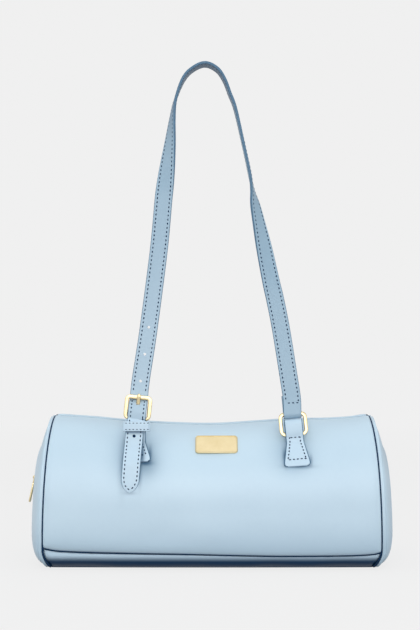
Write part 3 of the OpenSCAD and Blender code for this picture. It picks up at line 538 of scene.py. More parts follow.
# %% [markdown]
# The walls run along the bag and a dome closes each end. A third function finds the leather of
# the front at a given place, for everything that lies on it.

# %% Walls and domes


def wall(u, angle, deep, side, inset=-SEAM_OUT):
    y, z = section(angle, half_depth(u) - deep, top_height(u) - deep, max(deep, 0))
    return Vector((u * (seam_x(z) - inset), side * y, z))


def either_side(turn):
    return (-1, turn) if turn <= 180 else (1, 360 - turn)


def dome_x(s, angle, z, deep):
    up = (1 + math.cos(math.radians(angle))) / 2
    rise = (1 - up) * through(s, DOME_LOW) + up * through(s, DOME_TOP)
    start, reach = seam_x(z) + PIPING, HALF_LEN + BULGE - deep
    return -(start + (reach - start) * rise)


def dome(s, angle, deep, side):
    y, z = section(angle, half_depth(1) - deep, top_height(1) - deep, max(deep, 0))
    return Vector((dome_x(s, angle, z, deep), side * s * y, BELLY + s * (z - BELLY)))


def skin_at(x, z, off):
    u = x / HALF_LEN
    rise = (z - BELLY) / (top_height(u) + off - BELLY)
    angle = math.degrees(math.acos(min(1, rise) ** (CROWN / 2)))
    return Vector((x, -section(angle, half_depth(u) + off, top_height(u) + off)[0], z))


print("crown heights:", [round(top_height(u), 1) for u in (-1, -0.5, 0, 0.5, 1)])

# %% [markdown]
# Soft leather isn't a perfect barrel. It rolls in at every seam, it is drawn down a little
# beside the two sewn tabs, and it has slow waves where foam and hide give way. These go into
# one number, how deep the face lies under the plain shape, before the sheet gets thickness.

# %% Softness of the body
TABS = [(-60.5, 97.0), (68.0, 96.0)]
BADGE_X, BADGE_Z, FOLD_X, FOLD_Y = 3.5, 97.0, 64, -27
ROLL, ROLL_WIDE, FLAT_WIDE = 1.3, 2.2, 14


def dent(most, across, up, power=2):
    return most * math.exp(-across**power - up**2)


def give(point, edge):
    roll, drawn = ROLL * math.exp(-max(edge, 0) / ROLL_WIDE), 0
    if point.y < 0:
        for x, z in TABS:
            drawn += dent(1.4, (point.x - x) / 24, (point.z - z) / 17)
            drawn += dent(1.3, (point.x - x) / 12, (point.z - z + 4) / 14)
        drawn += dent(1.1, (point.x - BADGE_X) / 24, (point.z - BADGE_Z) / 13, 4)
        drawn += dent(1.6, (point.x - FOLD_X) / 13, (point.y - FOLD_Y) / 7, 4)
    slow = noise.noise(point * 0.021) * 0.55 + noise.noise(point * 0.05 + Vector((7, 3, 1))) * 0.22
    fade = min(1, max(edge, 0) / FLAT_WIDE)
    return roll + (drawn + max(slow, -0.45)) * fade


def soft_wall(u, angle, side, low_edge, high_edge):
    plain = wall(u, angle, 0, side)
    edge = min((1 - abs(u)) * HALF_LEN, abs(angle - low_edge) * 1.05, abs(angle - high_edge) * 0.9)
    return wall(u, angle, give(plain, edge), side)


# %% [markdown]
# The front and the back are one sheet each, from the zip's slit over the crown down to the seam
# of the base.

# %% Front and back
SLIT, SLIT_LOW = 7.0, 61.0


def long_panel(name, side, node):
    start = angle_at(SLIT, half_depth(1))

    def place(s, t):
        u = 2 * s - 1
        seam = seam_angle(u, side) + 0.4
        return soft_wall(u, start + (seam - start) * t, side, start, seam)

    bm = bent_grid(150, 100, place)
    if side > 0:
        bmesh.ops.reverse_faces(bm, faces=bm.faces)
    soft_sheet(bm, name, body_leather, [node], LEATHER)


long_panel("front_leather", -1, "front_panel")
long_panel("back_leather", 1, "back_panel")

# %% [markdown]
# The base is one wide strip. It turns up at the front and the back to a seam a finger's width
# above the table, and rests flat in between.

# %% Base
SEAM_TO_BASE, SLACK_ANGLE, FLAT_ANGLE = 2.2, 146, 150


def base_place(s, t):
    u, side = 2 * s - 1, -1 if t < 0.5 else 1
    start = seam_angle(u, side) + SEAM_TO_BASE
    angle = start + (180 - start) * (1 - abs(2 * t - 1))
    edge = min((1 - abs(u)) * HALF_LEN, angle - start)
    slack = dent(0.9 * (noise.noise(Vector((u * 3.1, side, 4.2))) + 0.3),
                 (angle - SLACK_ANGLE) / 9, 0)
    roll = 0.9 * math.exp(-max(edge, 0) / 2.0) + max(slack, 0)
    point = wall(u, angle, roll, side)
    point.z = max(point.z - roll * (angle > FLAT_ANGLE), 0.02)
    return point


soft_sheet(facing_out(bent_grid(150, 64, base_place)), "base_leather", base_leather,
           ["base_panel"], LEATHER)

# %% [markdown]
# Each end is a shallow dome. Its rings shrink from the seam to the middle, and a slit is left
# for the zip: the sheet is cut along three planes and the strip between them is taken out.

# %% Ends


def without(bm, half_wide, low):
    strip = [face for face in bm.faces if abs(face.calc_center_median().y) < half_wide * MM
             and face.calc_center_median().z > low * MM]
    bmesh.ops.delete(bm, geom=strip, context="FACES")


def open_slit(bm):
    for normal, at in (((0, 1, 0), (0, SLIT, 0)), ((0, 1, 0), (0, -SLIT, 0)),
                       ((0, 0, 1), (0, 0, SLIT_LOW))):
        bmesh.ops.bisect_plane(bm, geom=bm.verts[:] + bm.edges[:] + bm.faces[:],
                               plane_co=Vector(at) * MM, plane_no=normal, dist=1e-6)
    without(bm, SLIT, SLIT_LOW)


def end_place(s, t):
    side, angle = either_side(360 * s)
    plain, edge = dome(1 - t, angle, 0, side), t * 60
    deep = 1.0 * math.exp(-edge / 2.4) + noise.noise(plain * 0.03) * 0.4 * min(1, edge / 15)
    return dome(1 - t, angle, deep, side)


def end_sheet(hand):
    bm = bent_grid(120, 44, end_place)
    bmesh.ops.remove_doubles(bm, verts=bm.verts, dist=2e-5)
    open_slit(bm)
    if hand == "right":
        bmesh.ops.scale(bm, vec=(-1, 1, 1), verts=bm.verts)
    facing_out(bm)
    middle = min(bm.faces, key=lambda face: -abs(face.calc_center_median().x))
    if middle.normal.x * middle.calc_center_median().x < 0:
        bmesh.ops.reverse_faces(bm, faces=bm.faces)
    soft_sheet(bm, f"end_leather_{hand}", body_leather, [f"end_panel_{hand}"],
               LEATHER)


for hand in ("left", "right"):
    end_sheet(hand)

# %% [markdown]
# Straps, cords and bars are all one outline carried along a path: a grid is bent into a tube,
# closed and capped. An outline is a list of widths and heights, and may change on the way.

# %% Carried outlines


def towards(path, i, closed):
    ahead = path[(i + 1) % len(path)] if closed or i + 1 < len(path) else path[i]
    behind = path[i - 1] if closed or i else path[i]
    return (ahead - behind).normalized()


def square_to(normal, along):
    return (normal - along * normal.dot(along)).normalized()


def carried(path, normals, outline, closed=False):
    steps = len(path) if closed else len(path) - 1
    count = len(outline(0))

    def place(u, v):
        i = round(v * steps) % len(path)
        along = towards(path, i, closed)
        normal = square_to(normals[i], along)
        across, out = outline(i)[round(u * count) % count]
        return path[i] + normal.cross(along) * across + normal * out

    return closed_up(bent_grid(count, steps, place))


def rod(path, normals, outline, name, body, material, nodes=(), closed=False):
    piece(carried(path, normals, lambda i: outline, closed), name, body, [material], nodes)


# %% [markdown]
# A cord's outline is round. A strap's is a flat box with soft corners: the powers below 1 push a
# circle out towards its box. The curve is the usual one that runs through its knots.

# %% Outlines and curves


def circle(count):
    return [2 * math.pi * k / count for k in range(count)]


def pushed_out(value, power):
    return math.copysign(abs(value) ** power, value)


def round_outline(radius, sides=12):
    return [(radius * math.cos(a), radius * math.sin(a)) for a in circle(sides)]


def strap_outline(width, thick, sides=28, corner=0.24):
    return [(width / 2 * pushed_out(math.cos(a), corner),
             thick / 2 * pushed_out(math.sin(a), 0.5)) for a in circle(sides)]


def curve_through(points, steps):
    made = []
    for i in range(len(points) - 1):
        a, b = points[max(i - 1, 0)], points[i]
        c, d = points[i + 1], points[min(i + 2, len(points) - 1)]
        for k in range(steps):
            s = k / steps
            made.append((b * 2 + (c - a) * s + (a * 2 - b * 5 + c * 4 - d) * s * s
                         + (b * 3 - a - c * 3 + d) * s**3) / 2)
    return made + [points[-1]]


# %% [markdown]
# Piping is a cord in a narrow strip of leather, caught in the seam: the navy line round the
# front of the bag, dark with edge paint and with the painted shadow of the seam's groove. Beside
# it, on the end, the folded seam lifts the leather into a low welt.

# %% Piping and welts
CORD_START, DARK_R, BASE_R, WELT_W, WELT_T = 7.4, 1.0, 0.75, 3.0, 1.8


def seam_path(deep, shift, steps=132):
    start = angle_at(CORD_START, half_depth(1))
    path, outs = [], []
    for k in range(steps + 1):
        side, angle = either_side(start + (360 - 2 * start) * k / steps)
        y, z = section(angle, half_depth(1) - deep, top_height(1) - deep, deep)
        z = max(z, PIPING)
        path.append(Vector((-(seam_x(z) + shift), side * y, z)))
        outs.append(Vector((0, side * y, z - BELLY)))
    return path, outs


def base_seam_path(side, deep, drop, steps=80):
    path = []
    for k in range(steps + 1):
        u = 2 * k / steps - 1
        path.append(wall(u, seam_angle(u, side) + drop, deep, side))
    return path, [Vector((0, side, 0))] * len(path)


def mirrored_x(points):
    return [Vector((-p.x, p.y, p.z)) for p in points]


for hand in ("left", "right"):
    turned = mirrored_x if hand == "right" else list
    path, outs = seam_path(deep=0.05, shift=SEAM_OUT + 0.35)
    rod(turned(path), turned(outs), round_outline(DARK_R, 10), f"piping_and_groove_shadow_{hand}", "bag",
        seam_paint_and_shade, [f"piping_{hand}"])
    path, outs = seam_path(deep=0.75, shift=SEAM_OUT + 2.3)
    rod(turned(path), turned(outs), strap_outline(WELT_W, WELT_T, 16), f"welt_{hand}", "bag",
        body_leather)
for side, hand in ((-1, "front"), (1, "back")):
    path, outs = base_seam_path(side, deep=0.1, drop=1.3)
    rod(path, outs, round_outline(BASE_R, 10), f"base_piping_and_groove_shadow_{hand}", "bag", seam_paint_and_shade,
        [f"piping_base_{hand}"])

# %% [markdown]
# A stitch is a short thread that dives into the leather at both ends. Hundreds are needed, so
# each is one small stretched ball, half sunk, set along a line at an even pitch. Over the top
# of the strap the thread is pulled deeper into the leather.

# %% Stitches
PROUD, SUNK, PULLED_IN_Z = 0.22, 0.06, 345


def even_places(path, normals, pitch):
    made, carry = [], pitch / 2
    for i in range(len(path) - 1):
        length = (path[i + 1] - path[i]).length
        while carry <= length:
            s = carry / max(length, 1e-6)
            made.append((path[i].lerp(path[i + 1], s), (path[i + 1] - path[i]).normalized(),
                         normals[i].lerp(normals[i + 1], s)))
            carry += pitch
        carry -= length
    return made


def stitches(lines, name, body, pitch=3.4, length=2.1, thick=0.58, proud=PROUD):
    bm = bmesh.new()
    for path, normals in lines:
        for at, along, normal in even_places(path, normals, pitch):
            normal = square_to(normal, along)
            turn = Matrix((along, normal.cross(along), normal)).transposed().to_4x4()
            high = proud if at.z < PULLED_IN_Z else SUNK
            size = Matrix.Diagonal((length / 2 * MM, thick * MM, high * MM, 1))
            bmesh.ops.create_icosphere(bm, subdivisions=1, radius=1,
                                       matrix=Matrix.Translation(at * MM) @ turn @ size)
    return piece(bm, name, body, [thread])


# %% [markdown]
# The strap rises from the buckle, turns edge-on over its crown and comes down to the ring. A
# station of its arch is a share of the half width, a share of the rise and the turn of the face
# in degrees: at 90 it looks to the front, at 0 it stands edge-on.

# %% Shape of the strap
BUCKLE, RING = Vector((-60.5, -43.04, 119.0)), Vector((66.0, -43.04, 106.5))
STRAP_W, STRAP_T, RISE = 14.5, 2.5, 289.0
ARCH = [(-0.953, 0.107, 90), (-0.858, 0.246, 90), (-0.728, 0.471, 90), (-0.67, 0.612, 88),
        (-0.654, 0.644, 80), (-0.627, 0.696, 62), (-0.611, 0.727, 51), (-0.584, 0.782, 34),
        (-0.559, 0.841, 17), (-0.521, 0.896, 5), (-0.42, 0.955, -3), (-0.3, 0.985, -4),
        (-0.135, 1, -5), (0.02, 0.985, -5), (0.115, 0.955, -4), (0.185, 0.915, -3),
        (0.26, 0.869, -2), (0.377, 0.754, 0), (0.445, 0.682, 0), (0.478, 0.64, 9),
        (0.512, 0.599, 30), (0.566, 0.54, 44), (0.63, 0.471, 62), (0.71, 0.384, 76),
        (0.766, 0.329, 88), (0.839, 0.246, 90), (0.938, 0.107, 90), (0.972, 0.055, 90)]

# %% [markdown]
# The ring leans to the left and tips back, and the neck of the left tab leans with the bag.
# The strap starts above the buckle, where it has bent over the prong, and stops at the ring.

# %% Ends of the strap
FRONT, ACROSS = Vector((0, -1, 0)), Vector((1, 0, 0))
RING_LEAN, RING_TIP, BAR_GAP, FOLD_R = math.radians(5), math.radians(14), 16.7, 1.5
ring_turn = Matrix.Rotation(-RING_LEAN, 3, "Y") @ Matrix.Rotation(-RING_TIP, 3, "X")
RING_UP, RING_OUT = ring_turn @ Vector((0, 0, 1)), ring_turn @ FRONT
BUCKLE_LEAN = math.atan2(12.5, 126.5)
HEEL_OUT, RAIL_Y, BEND_TOP, RAIL_LIFT = 3.4, 2.75, 16.6, 0.45
WAIST_Z, TAB_T, FOLD_T, GAP = 100.0, 2.8, 1.3, 0.3
NECK_LOW = skin_at(BUCKLE.x, WAIST_Z, GAP + TAB_T / 2)
NECK_LEAN = math.atan2(BUCKLE.y - NECK_LOW.y, BUCKLE.z - WAIST_Z)
NECK_OUT = Vector((0, -math.cos(NECK_LEAN), math.sin(NECK_LEAN)))
NECK_UP = Vector((0, math.sin(NECK_LEAN), math.cos(NECK_LEAN)))
BEND_START = NECK_OUT * (HEEL_OUT + GAP + STRAP_T / 2)


def bend_point(s):
    ease = (1 - math.cos(math.pi * s**2.1)) / 2
    return BUCKLE + Vector((s * BEND_TOP * math.sin(BUCKLE_LEAN),
                            BEND_START.y + (RAIL_Y - BEND_START.y) * ease,
                            BEND_START.z + (BEND_TOP - BEND_START.z) * s))


strap_start = bend_point(1) + Vector((0, 0, RAIL_LIFT))
strap_stop = RING + RING_UP * BAR_GAP + RING_OUT * (FOLD_R + STRAP_T / 2)
arch_mid, arch_half = (BUCKLE.x + RING.x) / 2, (RING.x - BUCKLE.x) / 2

# %% [markdown]
# A smooth curve runs through the stations. The crown of the arch lies behind both ends.

# %% Path of the strap
SMOOTH, BEHIND_Y = 8, -18


def arch_point(x_share, z_share):
    low = strap_start.y if x_share < 0 else strap_stop.y
    return Vector((arch_mid + x_share * arch_half, low + (BEHIND_Y - low) * z_share,
                   BUCKLE.z + z_share * RISE))


strap_path = curve_through([strap_start] + [arch_point(x, z) for x, z, turn in ARCH]
                           + [strap_stop], SMOOTH)
strap_turns = curve_through([Vector((turn, 0, 0)) for x, z, turn in
                             [(0, 0, 90)] + ARCH + [(0, 0, 90)]], SMOOTH)


def face_normal(i):
    along, turn = towards(strap_path, i, False), math.radians(strap_turns[i].x)
    outside = FRONT.cross(along).normalized()
    return square_to(outside * math.cos(turn) + FRONT * math.sin(turn), along)


strap_normals = [face_normal(i) for i in range(len(strap_path))]

# %% [markdown]
# The cut edges of a strap are painted, in a blue that is partly painted shade: the map of the
# sheet tells where the narrow sides are.

# %% Painted edges
EDGE_SHARE = 0.09


def paint(bm, wanted):
    sheet = bm.loops.layers.uv["sheet"]
    for face in bm.faces:
        if wanted([loop[sheet].uv.x for loop in face.loops]):
            face.material_index = 1


def paint_edges(bm, share):
    paint(bm, lambda u: len(u) == 4 and abs((sum(u) / 4 + 0.25) % 0.5 - 0.25) < share)


# %% [markdown]
# Holes are drilled and slots are chiselled out of the finished leather. The holes of a strap keep
# an even pitch, measured from the buckle.

# %% Holes and slots
FIRST_HOLE, HOLE_PITCH, HOLE_R, TAIL_HOLE_R, THROUGH = 8.3, 21.7, 1.1, 1.3, 15
STANDING = Matrix.Rotation(math.radians(90), 4, "X")


def drill(at, radius):
    bm = bmesh.new()
    bmesh.ops.create_cone(bm, cap_ends=True, segments=24, radius1=radius * MM,
                          radius2=radius * MM, depth=THROUGH * MM,
                          matrix=Matrix.Translation(at * MM) @ STANDING)
    return bm


def chisel(at, size, lean=0.0):
    bm = bmesh.new()
    bmesh.ops.create_cube(bm, size=1, matrix=Matrix.Translation(at * MM) @ Matrix.Rotation(
        lean, 4, "X") @ Matrix.Diagonal((*(Vector(size) * MM), 1)))
    return bm


def cut(made, tools, folded=False):
    for tool in tools:
        cutter = as_object(tool, "tool")
        cutting = made.modifiers.new("cut", "BOOLEAN")
        cutting.object, cutting.operation, cutting.solver = cutter, "DIFFERENCE", "EXACT"
        cutting.use_self = folded
        bpy.context.view_layer.update()
        done = made.evaluated_get(bpy.context.evaluated_depsgraph_get())
        made.data = bpy.data.meshes.new_from_object(done)
        made.modifiers.clear()
        made.data.set_sharp_from_angle(angle=math.radians(50))
        bpy.data.objects.remove(cutter)
    print(made.name, "cuts:", len(tools), "faces:", len(made.data.polygons))


def place_at_height(path, z):
    for a, b in zip(path, path[1:]):
        if a.z <= z <= b.z:
            return a.lerp(b, (z - a.z) / (b.z - a.z))


# %% [markdown]
# At the ring the strap makes half a turn round the bar, closes in and lies flat behind itself.
# The arch and this fold are one ribbon, with three punched holes above the buckle.

# %% Strap round the ring


def on_ring(x, y, z):
    return RING + ring_turn @ Vector((x, y, z))


fold_mid = FOLD_R + STRAP_T / 2
fold_line = [(-fold_mid * math.cos(math.pi * k / 12), -fold_mid * math.sin(math.pi * k / 12))
             for k in range(1, 12)]
fold_line += [(fold_mid, 0.6), (2.6, 2.2), (1.0, 4.4), (0.15, 6.2), (0.05, 8.5), (0.05, 11.5),
              (0.05, 15.0)]
fold_path = [strap_path[-1]] + [on_ring(0, y, z + BAR_GAP) for y, z in fold_line]
fold_normals = [towards(fold_path, i, False).cross(ring_turn @ ACROSS).normalized()
                for i in range(len(fold_path))]
whole_path = strap_path[:-1] + fold_path
whole_normals = strap_normals[:-1] + fold_normals
bm = carried(whole_path, whole_normals, lambda i: strap_outline(STRAP_W, STRAP_T))
paint_edges(bm, EDGE_SHARE)
strap = piece(bm, "strap_leather_arch", "strap", [strap_leather, edge_paint_and_shade],
              ["strap", "strap_fold"])
cut(strap, [drill(place_at_height(strap_path, BUCKLE.z + FIRST_HOLE + HOLE_PITCH * k), HOLE_R)
            for k in (1, 2, 3)])

# %% [markdown]
# Two rows of thread hold the strap's face and lining together, with one row across at the ring.
# On the inner side the thread sits deeper.

# %% Thread of the strap
EDGE_IN, CROSS_ROW, LAST_ROW_Z, ABOVE_RAIL = STRAP_W / 2 - 2.3, 4.4, 131.6, 4


def beside(path, normals, across, lift):
    return [path[i] + normals[i].cross(towards(path, i, False)) * across + normals[i] * lift
            for i in range(len(path))]


below = max(i for i, p in enumerate(strap_path) if p.z > LAST_ROW_Z) + 1
for side, proud, name in ((1, PROUD, "strap_stitches"), (-1, SUNK, "strap_stitches_inside")):
    lift, outward = side * STRAP_T / 2, [normal * side for normal in strap_normals]
    rows = [(beside(strap_path, strap_normals, across, lift)[ABOVE_RAIL:below],
             outward[ABOVE_RAIL:below]) for across in (-EDGE_IN, EDGE_IN)]
    ends = [beside(strap_path, strap_normals, across, lift)[below]
            for across in (-CROSS_ROW, CROSS_ROW)]
    stitches(rows + [(ends, [outward[below]] * 2)], name, "strap", proud=proud)

# %% [markdown]
# Between the top rail and the tab the strap bends over the prong, through a slot. It flexes when
# the strap swings; here it rides on neither body, with its place baked into its mesh.

# %% Strap over the prong


def ribbon_normals(path, across=ACROSS, facing=1):
    return [across.cross(towards(path, i, False)).normalized() * facing for i in range(len(path))]


def ribbon(path, normals, widths, thicks, name, body, materials, node, share=EDGE_SHARE,
           corner=0.24):
    bm = carried(path, normals, lambda i: strap_outline(widths[i], thicks[i], 28, corner))
    paint_edges(bm, share)
    return piece(bm, name, body, materials, [node])


bend_path = [bend_point(k / 16) for k in range(17)]
bend_normals = ribbon_normals(bend_path)
bend = ribbon(bend_path, bend_normals, [STRAP_W] * 17, [STRAP_T] * 17, "strap_leather_bend",
              None, [strap_leather, edge_paint_and_shade], "strap_bend")
SLOT_SHARE, SLOT_SIZE, STEEPER = 0.71, (3.5, 10, 3.6), 1.6
bend_slope = math.atan2(RAIL_Y - BEND_START.y, BEND_TOP - BEND_START.z) * STEEPER
cut(bend, [chisel(bend_point(SLOT_SHARE), SLOT_SIZE, -bend_slope)])
bend_thread = stitches([(beside(bend_path, bend_normals, across, STRAP_T / 2), bend_normals)
                        for across in (-EDGE_IN, EDGE_IN)], "bend_stitches", None)
for soft in (bend, bend_thread):
    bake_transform(soft)

# %% [markdown]
# The tail lies over the tab's neck, runs down its foot and ends in a blunt point on the bag's
# front. Its place, its height above the skin and its width are worked out at each height.

# %% Shape of the tail
FOOT_LEFT, FOOT_RIGHT, TIP_Z, TAIL_SIDE, TAIL_POINT = 85.5, 82.5, 62.0, 4.0, 7.975
over_tab = GAP + STRAP_T / 2
neck_top = BUCKLE + NECK_OUT * HEEL_OUT


def tail_x(z):
    return -TAIL_SIDE * (BUCKLE.z - z) / (BUCKLE.z - TIP_Z) - 0.9 * min(1, (BUCKLE.z - z) / 7)


def tail_off(z):
    step = through(z, [(FOOT_LEFT - 22, 0), (FOOT_LEFT - 11, 0.4), (FOOT_LEFT - 1, 1)])
    return over_tab + (TAB_T + GAP) * step


def tail_half(z, inset=0.0):
    k = max(0, 1 - (z - TIP_Z - inset * 1.25) / (TAIL_POINT + 2.6 - inset * 0.5))
    return max(0, 1 - k * k) ** 0.6


# %% [markdown]
# The path starts at the bend, follows the neck and then the skin. Its steps are short at the
# tip, so that the rounding is smooth. A dark disc behind the punched hole is its painted shadow.

# %% Strap's tail
knots = [BUCKLE + BEND_START]
for share in (0.66, 0.33):
    low = skin_at(BUCKLE.x, WAIST_Z, GAP + TAB_T + over_tab)
    point = low.lerp(neck_top + NECK_OUT * over_tab, share)
    knots.append(point + Vector((tail_x(point.z), 0, 0)))
for z in (98, 92, 84.5, 79.5, 74.5, 70, 67.5):
    knots.append(skin_at(BUCKLE.x + tail_x(z), z, tail_off(z)))
tail_path = curve_through(knots, 5)[:-1]
for k in range(13):
    z = TIP_Z + 5.5 * math.cos(math.pi / 2 * k / 12)
    tail_path.append(skin_at(BUCKLE.x + tail_x(z), z, tail_off(z)))
tail_widths = [STRAP_W * max(0.03, tail_half(p.z)) for p in tail_path]
tail_normals = ribbon_normals(tail_path, ACROSS, -1)
tail = ribbon(tail_path, tail_normals, tail_widths, [STRAP_T] * len(tail_path),
              "strap_leather_tail", "bag", [tail_leather, edge_paint_and_shade], "strap_tail", share=0.12)
hole = place_at_height(tail_path[::-1], BUCKLE.z + FIRST_HOLE - HOLE_PITCH)
cut(tail, [drill(hole, TAIL_HOLE_R)])
bm = bmesh.new()
bmesh.ops.create_circle(bm, cap_ends=True, segments=20, radius=1.5 * MM,
                        matrix=Matrix.Translation((hole + FRONT * 0.1) * MM) @ STANDING)
piece(bm, "tail_hole_shadow", "bag", [seam_paint_and_shade])

# %% [markdown]
# The tail's thread follows both of its edges and turns round the tip.

# %% Thread of the tail
TAIL_INSET = 2.1
left, right = [], []
for p, normal in zip(tail_path, tail_normals):
    half = (STRAP_W / 2 - TAIL_INSET) * tail_half(p.z, TAIL_INSET)
    if half > 0:
        face = p + normal * (STRAP_T / 2)
        left.append((face - ACROSS * half, normal))
        right.append((face + ACROSS * half, normal))
stitches([list(zip(*(left + right[::-1])))], "tail_stitches", "bag")

# %% [markdown]
# A tab is one strip of leather: up from its flared foot, round its metal bar and down again
# behind itself. Its path is worked out with the width at each point.

# %% Path of a tab
TAB_INSET, FOOT_W, NECK_W = 3.0, 22.7, 14.4


def tab_half(rise, height):
    k = max(0, 1 - rise / 3.0)
    return (FOOT_W + (NECK_W - FOOT_W) * rise / height) / 2 - 3.4 * (1 - math.sqrt(1 - k * k))


def tab_path(at, loop_r, up, tip, lean, foot, neck, skew):
    back = Vector((0, math.sin(tip), math.cos(tip)))
    fore, height = Vector((0, -math.cos(tip), math.sin(tip))), WAIST_Z - foot
    rises = [0, 0.4, 1, 1.8, 3, 5, 8, 11, height * 0.88, height]

    def placed(p):
        return at + Vector((-p.z * math.sin(lean), p.y, p.z * math.cos(lean))), NECK_W

    def sewn(rise, off):
        aside = math.tan(lean) * (at.z - (foot + rise)) + skew * (1 - rise / height)
        return skin_at(at.x + aside, foot + rise, off), 2 * tab_half(rise, height)

    def straight(out):
        return [placed(fore * out - back * loop_r * 1.9)] if neck else []

    def bent(degrees):
        lift, a = up if 90 <= degrees <= 270 else 0, math.radians(degrees)
        return placed(back * (lift - loop_r * math.cos(a)) + fore * loop_r * math.sin(a))

    return ([sewn(r, GAP + TAB_T - FOLD_T / 2) for r in rises] + straight(0.75)
            + [bent(a) for a in [38, 62, 90] + list(range(90, 271, 20)) + [270, 298, 322]]
            + straight(-0.75) + [sewn(r, GAP + FOLD_T / 2) for r in rises[::-1]])


# %% [markdown]
# The front of a tab is thicker than its back, and is sewn to the bag close to its edge. The left
# tab has a slot for the prong.

# %% Tabs
RING_CORE, HEEL_LOOP, HEEL_LIFT, THICKER, TAB_SLOT = 1.3 + 1.6, 2.75, 0.6, 0.7, (4.0, 12, 6.4)
FOOT_ROW, TOP_ROW = 5, 10


def make_tab(hand, at, loop_r, up, tip, lean, foot, neck, skew):
    points = tab_path(at, loop_r, up, tip, lean, foot, neck, skew)
    path = [p for p, w in points]
    across = Vector((math.cos(lean), 0, math.sin(lean)))
    normals = ribbon_normals(path, across)
    thicks = [FOLD_T + THICKER] * 9 + [FOLD_T + 0.3] + [FOLD_T] * (len(path) - 10)
    face = under_tail if hand == "left" else tab_leather
    made = ribbon(path, normals, [w for p, w in points], thicks, f"tab_leather_{hand}", "bag",
                  [face, edge_paint_and_shade], f"tab_{hand}", share=0.1, corner=0.36)

    def sewing(i, side):
        return (path[i] + across * side * (points[i][1] / 2 - TAB_INSET)
                + normals[i] * (thicks[i] / 2 + 0.05))

    sides = range(FOOT_ROW, TOP_ROW + 1)
    rows = [([sewing(i, side) for i in sides], [normals[i] for i in sides]) for side in (-1, 1)]
    rows += [([sewing(i, -1), sewing(i, 1)], [normals[i]] * 2) for i in (FOOT_ROW, TOP_ROW)]
    stitches(rows, f"tab_stitches_{hand}", "bag", pitch=3.1)
    return made


tab = make_tab("left", BUCKLE, HEEL_LOOP, HEEL_LIFT, tip=NECK_LEAN, lean=0.0, foot=FOOT_LEFT,
               neck=True, skew=1.5)
cut(tab, [chisel(BUCKLE + NECK_UP * 1.2, TAB_SLOT, -NECK_LEAN)], folded=True)
make_tab("right", RING, RING_CORE + FOLD_T / 2,
         BAR_GAP - FOLD_R - STRAP_T - RING_CORE - FOLD_T - GAP, tip=RING_TIP, lean=RING_LEAN,
         foot=FOOT_RIGHT, neck=False, skew=-0.3)

# %% [markdown]
# Keeper, frame, ring and badge all follow a loop with rounded corners, which goes once round and
# puts a few points on each corner and each side.

# %% Rounded loop


def rounded_loop(half_w, half_h, radius, per_corner=6, per_side=6):
    points = []
    for q in range(4):
        cx, cy = (half_w - radius) * (1, -1, -1, 1)[q], (half_h - radius) * (1, 1, -1, -1)[q]
        for k in range(per_corner + 1):
            a = math.pi / 2 * (q + k / per_corner)
            points.append(Vector((cx + radius * math.cos(a), cy + radius * math.sin(a), 0)))
        a, b = points[-1], Vector(((half_w - radius) * (-1, -1, 1, 1)[q],
                                   (half_h - radius) * (1, -1, -1, 1)[q], 0))
        turn = math.pi / 2 * (q + 1)
        b = b + Vector((radius * math.cos(turn), radius * math.sin(turn), 0))
        points += [a.lerp(b, k / per_side) for k in range(1, per_side)]
    return points


# %% [markdown]
# The keeper is a closed band round the tab's neck and the tail, sewn along its two edges.

# %% Keeper
KEEPER_W, KEEPER_H, KEEPER_SLACK, KEEPER_SHARE, ROW_END = 21.6, 8.0, 2.7, 0.68, 9.6
keeper_inner = TAB_T + STRAP_T + 3 * GAP + KEEPER_SLACK
keeper_mid = (STRAP_T + KEEPER_SLACK - GAP) / 2 - KEEPER_SLACK * 0.08
keeper_at = NECK_LOW.lerp(BUCKLE, KEEPER_SHARE) + NECK_OUT * keeper_mid
keeper_turn = Matrix.Rotation(-NECK_LEAN, 3, "X")
band = rounded_loop((KEEPER_W - FOLD_T) / 2, (keeper_inner + FOLD_T) / 2, 1.2)
band_path = [keeper_at + keeper_turn @ p for p in band]
band_out = [keeper_turn @ Vector((p.x * 0.2, p.y, 0)) if abs(p.x) < 9 else
            keeper_turn @ Vector((p.x, p.y * 0.4, 0)) for p in band]
bm = carried(band_path, band_out, lambda i: strap_outline(KEEPER_H, FOLD_T), closed=True)
# One edge of the band takes the dark seam colour, as painted shade under the keeper.
paint(bm, lambda u: all(abs(x - 0.5) < 0.1 for x in u))
piece(bm, "keeper_leather", "bag", [tab_leather, seam_paint_and_shade], ["keeper"])
front_y, row_z = -(keeper_inner + 2 * FOLD_T) / 2, KEEPER_H / 2 - 1.5
stitches([([keeper_at + keeper_turn @ Vector((x, front_y, z)) for x in (-ROW_END, ROW_END)],
           [NECK_OUT, NECK_OUT]) for z in (-row_z, row_z)], "keeper_stitches", "bag", pitch=2.9,
         length=1.8, thick=0.34)

# %% [markdown]
# Frame and ring are cast in one piece each. A cast bar has softened edges, so its outline is a
# box with soft corners, carried round a rounded loop. The inner side of the bar is painted a
# darker gold, a painted reflection of dark surroundings.

# %% Buckle and ring
FRAME_HALF, FRAME_H, RING_HALF = 9.35, 17.3, 10.0
buckle_turn = Matrix.Rotation(BUCKLE_LEAN, 3, "Y")


def cast_loop(half_w, high, radius, turn, at, outline, name, node):
    middle = high / 2
    flat = rounded_loop(half_w, middle, radius, 8, 8)
    path = [at + turn @ Vector((p.x, 0, p.y + middle)) for p in flat]
    bm = carried(path, [turn @ FRONT] * len(path), lambda i: outline(flat[i].y + middle),
                 closed=True)
    paint(bm, lambda u: all(abs(x - 0.5) > 0.3 for x in u))
    return piece(bm, name, "strap", [gold, dark_reflection_gold], [node])


def frame_bar(z):
    return strap_outline(2.4 + min(1, max(0, z / 3)), 2.5, 24)


